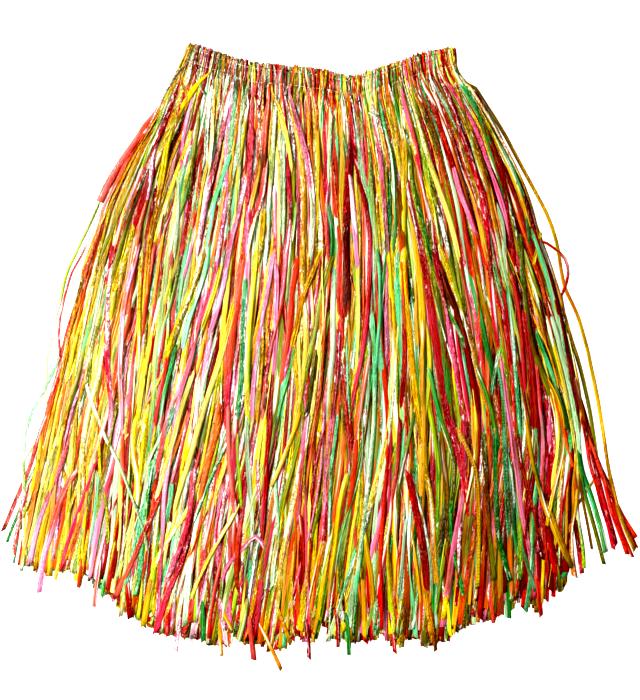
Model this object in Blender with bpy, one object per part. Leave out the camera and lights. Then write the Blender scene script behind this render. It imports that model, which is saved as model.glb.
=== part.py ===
"""Raffia-ribbon skirt on an elastic waist, lying flat: front over back.

Frame: +X to the skirt's right as it is looked down on, +Y from hem to waist, +Z up from the surface it lies on.
The fan of ribbons is one surface patch bounded by the waist edge, the two side edges and the hem. Every hank is a
strip of that patch: it starts at the hem, runs up to the waist, folds over the elastic and runs down again inside.
All sizes below are millimetres; make() turns them into metres.
"""
import bisect
import math

import bmesh
import bpy

for old in list(bpy.data.objects):
    bpy.data.objects.remove(old, do_unlink=True)

# ------------------------------------------------------------------ sizes, mm
MM = 0.001
HANKS = 15                 # hanks on each side of the skirt
COLUMNS = 4                # pleat columns across one hank
LENGTH = 600.0             # ribbon length, waist edge to hem
HANK_GAP = 0.0008          # half the gap between hanks, as a share of the waist width
ELASTIC_TOP = 5.6          # elastic's upper edge, below the header's top
ELASTIC_WIDTH = 12.0
ELASTIC_THICK = 1.2
INNER_INSET = 0.030        # inner legs stop this share short of the elastic's side turns
SHIFT = (-1.98, -2.8)       # puts the origin under the middle of the flat skirt

# Four outlines of the laid-out skirt (x, y), clockwise sense not needed: each runs waist to hem or left to right.
WAIST = (  # frilled upper edge, with its dip at the middle
    (-143, 329), (-124, 324), (-99, 315), (-74, 308), (-36, 304.5), (2, 299), (29, 293), (52, 299),
    (77, 307), (102, 316), (139, 323))
LEFT = (
    (-143, 329), (-168.5, 270), (-200, 220.5), (-227, 168), (-248, 121), (-265, 73.5), (-279, 21),
    (-290, -31.5), (-301, -89), (-315.5, -152), (-330, -211))
RIGHT = (
    (139, 323), (169.5, 268), (198, 220.5), (221, 171), (240, 126), (255, 76.5), (272.5, 21),
    (287, -34.5), (300, -89), (316.5, -147), (335, -202.5))
HEM = (
    (-330, -211), (-288, -230), (-238, -257), (-175, -289), (-124, -302), (-61, -308), (0, -309),
    (60, -306), (100, -298), (140, -284.5), (203, -262), (253.5, -233), (291, -213), (335, -202.5))

# One row for each hank, left to right:
#   crest_a, valley, crest_b: heights of its two pleats and the trough between them, above the hank's edges
#   tip_1 .. tip_5: how far each column's end runs past (+) or stops short of (-) the hem line
#   back_tip: the same for the middle of the hank behind it;  hue: its ribbons' main colour
FRONT_ROWS = (
    # crest_a valley crest_b  tip_1 tip_2 tip_3 tip_4 tip_5 back_tip hue
    (2.0, 0.8, 2.6, 4, -6, 3, -8, 0, 8, "yellow"),
    (2.8, 1.2, 2.0, 0, 14, -4, 6, -6, -4, "pink"),
    (2.2, 0.6, 3.2, -6, 2, -8, 4, -2, 6, "green"),
    (3.4, 1.4, 2.4, -2, 8, -2, 10, 0, -6, "yellow"),
    (2.4, 0.9, 3.6, 0, -6, 6, -4, 2, 10, "orange"),
    (3.0, 1.0, 2.2, 2, 9, -5, 12, -4, 4, "red"),
    (2.6, 0.7, 3.4, -4, 6, 14, -3, 5, -3, "pink"),
    (3.8, 1.3, 2.8, 5, -5, 8, 1, -6, 6, "yellow"),
    (2.3, 0.8, 3.0, -6, 10, -2, 16, 2, -6, "green"),
    (3.2, 1.1, 2.5, 2, -4, 12, -6, 4, 8, "orange"),
    (2.7, 0.6, 3.5, 4, 8, -6, 6, -4, 0, "yellow"),
    (3.1, 1.2, 2.1, -4, 3, 9, -7, 2, 6, "red"),
    (2.5, 0.9, 2.9, 2, -5, 10, 2, -8, -4, "pink"),
    (2.9, 1.0, 2.3, -8, 6, -3, 8, -2, 5, "green"),
    (2.1, 0.7, 2.4, -2, 4, -6, 5, 2, -5, "red"),
)

# Levels of the four layers of ribbon, above the surface: (in the band, below the band)
BACK_OUTER = {"outside": (0.0, 0.0), "inside": (2.2, 2.6)}
BACK_INNER = {"outside": (5.2, 5.2), "inside": (4.0, 2.9)}
FRONT_INNER = {"outside": (5.6, 5.6), "inside": (6.8, 7.9)}
FRONT_OUTER = {"outside": (10.4, 11.4), "inside": (8.6, 8.2)}
BACK_ELASTIC_Z = 3.1       # middle of the elastic's back run
FRONT_ELASTIC_Z = 7.7      # middle of its front run

# Sections of a hank, in millimetres below the top of the header
OUTER_SECTIONS = (LENGTH, 490.0, 370.0, 250.0, 140.0, 62.0, 21.0, 4.0)
INNER_SECTIONS = (4.0, 21.0, 62.0, 300.0, LENGTH)
FOLD_OUT, FOLD_IN = 0.0, 2.4   # outside and inside of the fold over the elastic

COLOURS = {
    "yellow": (0.86, 0.66, 0.03), "orange": (0.90, 0.27, 0.02), "red": (0.72, 0.02, 0.02),
    "pink": (0.85, 0.08, 0.20), "green": (0.10, 0.50, 0.16), "elastic": (0.85, 0.84, 0.80),
}


# ------------------------------------------------------------------ the fan
class Outline:
    """A smooth curve through (x, y) points, read by the share t of its length."""

    def __init__(self, points):
        self.points = [tuple(map(float, p)) for p in points]
        self.at = [0.0]
        for a, b in zip(self.points, self.points[1:]):
            self.at.append(self.at[-1] + math.dist(a, b))
        self.at = [v / self.at[-1] for v in self.at]

    def slope(self, i):
        lo, hi = max(i - 1, 0), min(i + 1, len(self.points) - 1)
        span = self.at[hi] - self.at[lo]
        return tuple((self.points[hi][k] - self.points[lo][k]) / span for k in (0, 1))

    def __call__(self, t):
        if t >= 1.0:
            i = len(self.points) - 1
            end, way = self.points[i], self.slope(i)
            return tuple(end[k] + way[k] * (t - 1.0) for k in (0, 1))
        i = min(max(bisect.bisect_right(self.at, t) - 1, 0), len(self.points) - 2)
        width = self.at[i + 1] - self.at[i]
        w = (t - self.at[i]) / width
        a, b, sa, sb = self.points[i], self.points[i + 1], self.slope(i), self.slope(i + 1)
        h = (2 * w**3 - 3 * w**2 + 1, w**3 - 2 * w**2 + w, 3 * w**2 - 2 * w**3, w**3 - w**2)
        return tuple(h[0] * a[k] + h[1] * width * sa[k] + h[2] * b[k] + h[3] * width * sb[k] for k in (0, 1))


waist, left, right, hem = Outline(WAIST), Outline(LEFT), Outline(RIGHT), Outline(HEM)


def fan(u, s):
    """Place on the laid-out skirt: u across from left to right, s down from the waist edge to the hem."""
    out = []
    for k in (0, 1):
        across = (1 - s) * waist(u)[k] + s * hem(u)[k]
        down = (1 - u) * left(s)[k] + u * right(s)[k]
        corners = ((1 - s) * ((1 - u) * WAIST[0][k] + u * WAIST[-1][k])
                   + s * ((1 - u) * HEM[0][k] + u * HEM[-1][k]))
        out.append(across + down - corners + SHIFT[k])
    return out


def level(layer, face, down):
    """Height of a layer's face, `down` millimetres below the header's top."""
    band, body = layer[face]
    w = min(max((down - 21.0) / 41.0, 0.0), 1.0)
    return band + (body - band) * w


# ------------------------------------------------------------------ meshes
def make(name, rings, hue, closed_loop=False):
    """A closed solid from rings of points (mm) of the same count; its ends are filled unless it closes on itself."""
    bm = bmesh.new()
    rows = [[bm.verts.new((x * MM, y * MM, z * MM)) for x, y, z in ring] for ring in rings]
    n = len(rings[0])
    pairs = list(zip(rows, rows[1:])) + ([(rows[-1], rows[0])] if closed_loop else [])
    for a, b in pairs:
        for i in range(n):
            j = (i + 1) % n
            bm.faces.new((a[i], a[j], b[j], b[i]))
    if not closed_loop:
        half = n // 2
        for row, flip in ((rows[0], False), (rows[-1], True)):
            for i in range(half - 1):
                quad = (row[i], row[n - 1 - i], row[n - 2 - i], row[i + 1])
                bm.faces.new(tuple(reversed(quad)) if flip else quad)
    bmesh.ops.recalc_face_normals(bm, faces=bm.faces)
    bmesh.ops.triangulate(bm, faces=bm.faces)
    mesh = bpy.data.meshes.new(name)
    bm.to_mesh(mesh)
    bm.free()
    obj = bpy.data.objects.new(name, mesh)
    bpy.context.scene.collection.objects.link(obj)
    material = bpy.data.materials.new(name)
    material.use_nodes = True
    shader = material.node_tree.nodes["Principled BSDF"]
    shader.inputs["Base Color"].default_value = (*COLOURS[hue], 1.0)
    shader.inputs["Roughness"].default_value = 0.6 if hue == "elastic" else 0.28
    shader.inputs["Metallic"].default_value = 0.0
    mesh.materials.append(material)
    obj.parent = skirt
    return obj


def pleat(row, column, down, side):
    """Height that a column of a front hank's outer leg stands above the hank's plain level."""
    if side != "front":
        return 0.0
    crest = (0.0, row[0], row[1], row[2], 0.3)[column]
    grow = min(max(down / 140.0, 0.25), 1.0)
    thin = 1.0 - 0.45 * min(max((down - 370.0) / 230.0, 0.0), 1.0)
    return crest * grow * thin


def hank(index, side):
    """A hank of ribbons folded over the elastic: outer leg, fold, inner leg, as one strip."""
    row = FRONT_ROWS[index]
    tips, back_tip, hue = row[3:8], row[8], row[9]
    outer, inner = (FRONT_OUTER, FRONT_INNER) if side == "front" else (BACK_OUTER, BACK_INNER)
    lo, hi = index / HANKS + HANK_GAP, (index + 1) / HANKS - HANK_GAP
    us = [lo + (hi - lo) * c / COLUMNS for c in range(COLUMNS + 1)]

    def reach(column, down, leg):
        if down < LENGTH:
            return down
        if side == "back":
            return LENGTH + back_tip + 0.5 * tips[column] - 3.0 - (5.0 if leg == "inner" else 0.0)
        return LENGTH + tips[column] - (9.0 if leg == "inner" else 0.0)

    rings = []
    for down in OUTER_SECTIONS:
        outside, inside = [], []
        for c, u0 in enumerate(us):
            d = reach(c, down, "outer")
            base = level(outer, "outside", down)
            if side == "back" and c in (0, COLUMNS) and down > 4.0:
                base += 0.8          # shallow groove between neighbouring hanks on the underside
            outside.append((*fan(u0, d / LENGTH), base + pleat(row, c, down, side)))
            inside.append((*fan(u0, d / LENGTH), level(outer, "inside", down)))
        rings.append(outside + inside[::-1])

    middle = (outer["outside"][0] + inner["outside"][0]) / 2
    outside = [(*fan(u0, FOLD_OUT / LENGTH), middle) for u0 in us]
    inside = [(*fan(u0, FOLD_IN / LENGTH), middle) for u0 in us]
    rings.append(outside + inside[::-1])

    for down in INNER_SECTIONS:
        outside, inside = [], []
        for c, u0 in enumerate(us):
            d = reach(c, down, "inner")
            span_lo, span_hi = max(us[0], INNER_INSET), min(us[-1], 1.0 - INNER_INSET)
            u1 = span_lo + (span_hi - span_lo) * c / COLUMNS
            outside.append((*fan(u1, d / LENGTH), level(inner, "outside", down)))
            inside.append((*fan(u1, d / LENGTH), level(inner, "inside", down)))
        rings.append(outside + inside[::-1])
    return make(f"{side}_hank_{index + 1:02d}", rings, hue)


def elastic():
    """The flattened elastic ring: two level runs joined by a half turn at each side of the waist."""
    mid = (FRONT_ELASTIC_Z + BACK_ELASTIC_Z) / 2
    radius = (FRONT_ELASTIC_Z - BACK_ELASTIC_Z) / 2
    width = 2 * (WAIST[-1][0] + 2.0)
    u_lo, u_hi = 0.017, 0.983
    path = []
    steps = 30
    for i in range(steps + 1):
        path.append((u_lo + (u_hi - u_lo) * i / steps, FRONT_ELASTIC_Z, 1.0, 0.0))
    for i in range(1, 6):
        a = math.pi * i / 6
        path.append((u_hi + radius * math.sin(a) / width, mid + radius * math.cos(a), math.cos(a), math.sin(a)))
    for i in range(steps + 1):
        path.append((u_hi - (u_hi - u_lo) * i / steps, BACK_ELASTIC_Z, -1.0, 0.0))
    for i in range(1, 6):
        a = math.pi * i / 6
        path.append((u_lo - radius * math.sin(a) / width, mid - radius * math.cos(a), -math.cos(a), -math.sin(a)))
    rings = []
    half = ELASTIC_THICK / 2
    for u, z, up, out in path:
        ring = []
        for down, face in ((ELASTIC_TOP, 1), (ELASTIC_TOP + ELASTIC_WIDTH, 1),
                           (ELASTIC_TOP + ELASTIC_WIDTH, -1), (ELASTIC_TOP, -1)):
            ring.append((*fan(u + out * half * face / width, down / LENGTH), z + up * half * face))
        rings.append(ring)
    return make("elastic_band", rings, "elastic", closed_loop=True)


skirt = bpy.data.objects.new("skirt", None)
bpy.context.scene.collection.objects.link(skirt)
elastic()
for number in range(HANKS):
    hank(number, "front")
    hank(number, "back")
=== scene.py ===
"""Looks of a multicoloured raffia skirt that lies flat: about 1,300 film ribbons gathered on an elastic, each a closed
crumpled strip, laid one after another on what already lies there.

Sizes are millimetres, in the CAD model's frame (+X right, +Y to the waist, +Z up); build() turns them into metres.
"""
import math

import bpy
import numpy as np
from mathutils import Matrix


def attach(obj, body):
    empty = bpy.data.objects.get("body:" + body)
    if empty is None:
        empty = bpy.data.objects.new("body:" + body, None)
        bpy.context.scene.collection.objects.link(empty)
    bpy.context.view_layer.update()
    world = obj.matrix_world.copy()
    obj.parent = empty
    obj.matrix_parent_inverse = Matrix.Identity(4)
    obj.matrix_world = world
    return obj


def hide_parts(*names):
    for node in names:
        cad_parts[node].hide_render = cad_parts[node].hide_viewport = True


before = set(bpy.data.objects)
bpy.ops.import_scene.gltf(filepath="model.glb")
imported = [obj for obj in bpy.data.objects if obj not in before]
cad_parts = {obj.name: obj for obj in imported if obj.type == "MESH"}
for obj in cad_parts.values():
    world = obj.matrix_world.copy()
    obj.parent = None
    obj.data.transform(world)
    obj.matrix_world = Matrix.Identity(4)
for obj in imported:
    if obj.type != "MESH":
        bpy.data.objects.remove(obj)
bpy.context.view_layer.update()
MM = 0.001
rng = np.random.default_rng(20)

# ------------------------------------------------------------------ the fan that every ribbon follows
SHIFT = (-1.98, -2.8)
LENGTH = 600.0
PITCH = 1.05     # mm for each pixel of the photograph


def place(px, py):
    """Photograph's pixel to the frame, in mm."""
    return (px - 322.5) * PITCH + SHIFT[0], (355.0 - py) * PITCH + SHIFT[1]


# edges of the closed mass of ribbons, in the photograph's pixels; loose strands lie outside them
WAIST = ((189, 44), (204, 48), (228, 56.5), (252, 63), (288, 66.5), (324, 71), (350, 76.5), (372, 70.8), (396, 63),
         (420, 54.5), (453, 47.5))
LEFT = ((189, 44), (173, 78), (152, 120), (131, 150), (116, 182), (104, 210), (95, 240), (86, 270), (78, 302), (68, 335),
        (61, 370), (51, 405), (44, 440), (38, 475), (33, 508), (27, 540), (24, 560))
RIGHT = ((453, 47.5), (458, 71), (474, 94), (492, 122), (505, 151), (519, 180), (530, 210), (540, 240), (552, 272),
         (561, 302), (568, 335), (575, 372), (579, 402), (578, 428), (574, 455), (571, 482), (570, 510), (569, 540), (567, 568))
HEM = ((24, 560), (36, 566), (56, 576), (86, 587), (110, 602), (134, 618), (158, 631), (190, 640), (230, 643), (270, 645),
       (320, 644), (380, 645), (434, 641), (458, 629), (482, 617), (510, 608), (536, 600), (550, 589), (560, 579), (567, 568))
# how low the cut ends reach, column by column
ENDS = ((2, 560), (10, 560), (20, 573), (30, 567), (40, 578), (50, 577), (62, 573), (78, 578), (86, 577), (92, 590),
        (104, 597), (114, 598), (119, 613), (134, 618), (140, 627), (150, 625), (156, 633), (170, 630), (175, 641),
        (190, 643), (198, 639), (214, 644), (220, 650), (226, 646), (230, 629), (236, 636), (246, 646), (252, 650),
        (258, 634), (264, 637), (272, 652), (280, 655), (286, 639), (294, 634), (302, 640), (307, 648), (313, 619),
        (322, 623), (326, 632), (330, 624), (335, 645), (346, 641), (354, 647), (366, 644), (374, 638), (382, 635),
        (388, 645), (394, 650), (402, 641), (414, 640), (426, 638), (434, 648), (442, 642), (447, 633), (454, 626),
        (464, 618), (472, 623), (478, 610), (486, 616), (493, 623), (498, 606), (506, 604), (510, 590), (515, 601),
        (522, 602), (526, 609), (532, 600), (540, 612), (546, 588), (552, 576), (559, 588), (564, 590), (568, 567),
        (576, 574), (590, 566), (640, 566))


class Outline:
    """A smooth curve through points, read by the share of its length; it runs on straight past its ends."""

    def __init__(self, points, n=600):
        p = np.array(points, float)
        at = np.concatenate([[0], np.cumsum(np.linalg.norm(np.diff(p, axis=0), axis=1))])
        at /= at[-1]
        t = np.linspace(0, 1, n)
        i = np.clip(np.searchsorted(at, t, side="right") - 1, 0, len(p) - 2)
        lo, hi = np.maximum(np.arange(len(p)) - 1, 0), np.minimum(np.arange(len(p)) + 1, len(p) - 1)
        slope = (p[hi] - p[lo]) / (at[hi] - at[lo])[:, None]
        width = (at[i + 1] - at[i])[:, None]
        w = (t[:, None] - at[i][:, None]) / width
        self.t = t
        self.xy = ((2 * w**3 - 3 * w**2 + 1) * p[i] + (w**3 - 2 * w**2 + w) * width * slope[i]
                   + (3 * w**2 - 2 * w**3) * p[i + 1] + (w**3 - w**2) * width * slope[i + 1])
        self.ends = (slope[0], slope[-1])

    def __call__(self, t):
        t = np.asarray(t, float)
        out = np.stack([np.interp(t, self.t, self.xy[:, k]) for k in (0, 1)], axis=-1)
        out += np.minimum(t, 0)[..., None] * self.ends[0] + np.maximum(t - 1, 0)[..., None] * self.ends[1]
        return out


waist, left, right, hem = (Outline([place(*q) for q in rows]) for rows in (WAIST, LEFT, RIGHT, HEM))
C00, C10, C01, C11 = (np.array(place(*q), float) for q in (WAIST[0], WAIST[-1], HEM[0], HEM[-1]))


# how the ribbons are shared out: where a ribbon of the hem comes from at the waist, more of them from its two ends
HEM_SHARE = (-0.10, 0.0, 0.10, 0.20, 0.30, 0.40, 0.50, 0.60, 0.70, 0.80, 0.90, 1.0, 1.10)
WAIST_SHARE = (-0.05, 0.0, 0.035, 0.115, 0.235, 0.37, 0.525, 0.655, 0.755, 0.85, 0.94, 1.0, 1.05)
SWEEP = 11.0     # mm that the middle ribbons bow to the right on their way down


def fan(u, s):
    """Place (mm) on the laid-out skirt: u across the hem from left to right, s down from the waist edge to the hem. The
    bow of each side edge fades towards the middle, where the ribbons hang straight."""
    u, s = np.broadcast_arrays(np.asarray(u, float), np.asarray(s, float))
    uu, ss = u[..., None], s[..., None]
    bow_left = left(s) - ((1 - ss) * C00 + ss * C01)
    bow_right = right(s) - ((1 - ss) * C10 + ss * C11)
    near_left, near_right = np.minimum(1.22 * np.clip(1 - uu, 0, 1.05) ** 5.0, 1), np.minimum(1.06 * np.clip(uu, 0, 1.05) ** 2.5, 1)
    out = (1 - ss) * waist(np.interp(u, HEM_SHARE, WAIST_SHARE)) + ss * hem(u) + near_left * bow_left + near_right * bow_right
    middle = np.clip(np.sin(math.pi * np.clip(u, 0, 1)), 0, 1) ** 0.8
    there_and_back = 4 * np.clip(s * (1 - s), 0, 1)
    stays = np.where(s < 0.5, there_and_back, 1 + 1.5 * (s - 0.5))
    g = np.clip((u - 0.40) / 0.25, 0, 1)
    out[..., 0] += SWEEP * middle * ((1 - g) * there_and_back + g * stays)
    return out


def hem_end(u):
    """The share of the skirt's length at which a ribbon is cut."""
    px = (fan(u, 1.0)[0] - SHIFT[0]) / PITCH + 322.5
    trim = (np.interp(px, *np.transpose(ENDS)) - np.interp(px, *np.transpose(HEM))) * PITCH
    return 1.0 + (trim - 1.5) / LENGTH


# ------------------------------------------------------------------ colours
def linear(rgb):
    c = np.array(rgb, float) / 255
    return np.where(c <= 0.04045, c / 12.92, ((c + 0.055) / 1.055) ** 2.4)


# name: (piece, colour, share on the skirt's left, share on its right, how strong its painted pearly sheen is)
PALETTE = {
    "lemon": ("lemon", (246, 228, 22), 10, 7, 0.90),
    "gold": ("gold", (242, 200, 12), 11, 12, 0.70),
    "mustard": ("gold", (226, 190, 20), 9, 12, 0.45),
    "cream": ("lemon", (254, 244, 140), 7, 4, 1.00),
    "orange": ("orange", (242, 142, 18), 9, 11, 0.60),
    "flame": ("orange", (230, 84, 26), 6, 10, 0.55),
    "red": ("red", (208, 28, 18), 3, 7, 0.50),
    "deep_red": ("red", (166, 22, 8), 2, 6, 0.30),
    "coral": ("pink", (240, 100, 84), 5, 3, 0.85),
    "hot_pink": ("pink", (230, 66, 100), 4, 6, 0.85),
    "pale_pink": ("pink", (249, 168, 200), 13, 7, 1.00),
    "green": ("green", (84, 188, 100), 3, 3, 0.75),
    "lime": ("green", (196, 220, 50), 6, 4, 0.80),
    "sage": ("green", (184, 200, 110), 6, 5, 0.75),
    "olive": ("green", (172, 172, 34), 4, 7, 0.50),
    "mint": ("mint", (140, 226, 176), 5, 2, 0.95),
    "pearl": ("mint", (212, 234, 200), 10, 5, 1.00),
}
# warm colours for the ribbons that lie deep between the others, picked so that with their painted shade they read as
# light that comes through several films
DEPTHS = ("flame", "red", "deep_red", "orange", "mustard", "olive", "deep_red", "sage", "mustard", "green")
FOLDS = ("lemon", "mint", "gold", "hot_pink", "pale_pink", "lemon", "red", "green", "cream")
# what shows through a thin film from the films under it
BEHIND = [((238, 180, 50), 6), ((196, 190, 76), 6), ((222, 104, 48), 3), ((186, 60, 36), 2), ((248, 212, 90), 4),
          ((240, 150, 150), 2), ((150, 204, 124), 3)]
NAMES = list(PALETTE)
TURNS = {"gold": ("orange", "lemon"), "lemon": ("gold", "cream", "lime"), "red": ("flame", "hot_pink", "deep_red"),
         "coral": ("pale_pink", "flame"), "hot_pink": ("red", "pale_pink"), "flame": ("coral", "orange", "red"),
         "mustard": ("olive", "gold"), "olive": ("green", "mustard"), "green": ("mint", "olive"),
         "mint": ("pearl", "sage"), "lime": ("lemon", "sage"), "sage": ("pearl", "mustard", "olive"), "orange": ("gold", "flame"),
         "pale_pink": ("hot_pink", "coral"), "cream": ("lemon", "gold"), "pearl": ("mint", "pale_pink"),
         "deep_red": ("red", "red")}
SLOTS = {"lemon": "raffia_yellow", "gold": "raffia_yellow", "orange": "raffia_orange", "red": "raffia_red",
         "pink": "raffia_pink", "green": "raffia_green", "mint": "raffia_green"}


EDGE = ("gold", "mustard", "lime", "orange", "olive", "lemon", "coral", "sage", "gold", "pale_pink")


def pick_colour(u):
    if u < 0.12 and rng.random() < 0.6:             # the left edge is mostly yellow and green
        return EDGE[rng.integers(len(EDGE))]
    share = np.array([PALETTE[n][2] * (1 - u) + PALETTE[n][3] * u for n in NAMES])
    return NAMES[rng.choice(len(NAMES), p=share / share.sum())]


# ------------------------------------------------------------------ what already lies there
class Pile:
    """Heights of the pile of ribbons, on a fine grid."""
    CELL = 1.25

    def __init__(self):
        self.n = int(800 / self.CELL)
        self.h = np.zeros((self.n, self.n))

    def cells(self, xy):
        c = np.clip(((xy + 400.0) / self.CELL).astype(int), 0, self.n - 1)
        return c[..., 0], c[..., 1]

    def under(self, xy):
        i, j = self.cells(xy)
        h = self.h[i, j]
        return 0.5 * h.max(axis=-1) + 0.5 * h.mean(axis=-1)

    def add(self, xy, top):
        i, j = self.cells(xy)
        np.maximum.at(self.h, (i.ravel(), j.ravel()), top.ravel())


pile = Pile()


def smooth(a, sigma):
    """Gaussian smoothing of a row of numbers, ends kept."""
    r = max(int(3 * sigma), 1)
    k = np.exp(-0.5 * (np.arange(-r, r + 1) / sigma) ** 2)
    return np.convolve(np.pad(a, r, mode="edge"), k / k.sum(), mode="valid")


def widest(a, r):
    """Largest of each value's neighbours within r places."""
    p = np.pad(a, r, mode="edge")
    return np.max([p[i:i + len(a)] for i in range(2 * r + 1)], axis=0)


def wander(x, step, low, high):
    """A smooth random course between low and high along x (mm), turning about every `step` mm."""
    n = max(int(np.ptp(x) / step) + 3, 4)
    k = rng.uniform(low, high, n)
    at = np.linspace(x.min() - step * rng.uniform(0, 1), x.max() + step, n)
    i = np.clip(np.searchsorted(at, x) - 1, 0, n - 2)
    w = (x - at[i]) / (at[i + 1] - at[i])
    w = w * w * (3 - 2 * w)
    return k[i] * (1 - w) + k[i + 1] * w


def ramp(x, a, b):
    w = np.clip((x - a) / (b - a), 0, 1)
    return w * w * (3 - 2 * w)


# ------------------------------------------------------------------ ribbons
pieces = {}      # piece name: list of ribbons, each a dict of arrays
# heights across a ribbon, from its left edge to its right: how the film lies folded or rolled on itself
SECTIONS = np.array([
    (0.05, 0.62, 0.93, 1.00, 0.93, 0.62, 0.05),
    (0.05, 0.80, 0.95, 0.40, 0.80, 0.85, 0.05),
    (0.05, 0.98, 0.90, 0.62, 0.45, 0.30, 0.05),
    (0.05, 0.80, 0.42, 0.95, 0.46, 0.78, 0.05),
    (0.05, 0.35, 0.50, 0.98, 0.85, 0.60, 0.05),
    (0.05, 0.30, 0.28, 0.40, 0.85, 0.98, 0.05),
    (0.30, 0.92, 1.00, 0.98, 0.95, 0.90, 0.25)])
SECTION_SHARE = (0.16, 0.12, 0.16, 0.10, 0.12, 0.08, 0.26)


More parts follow.
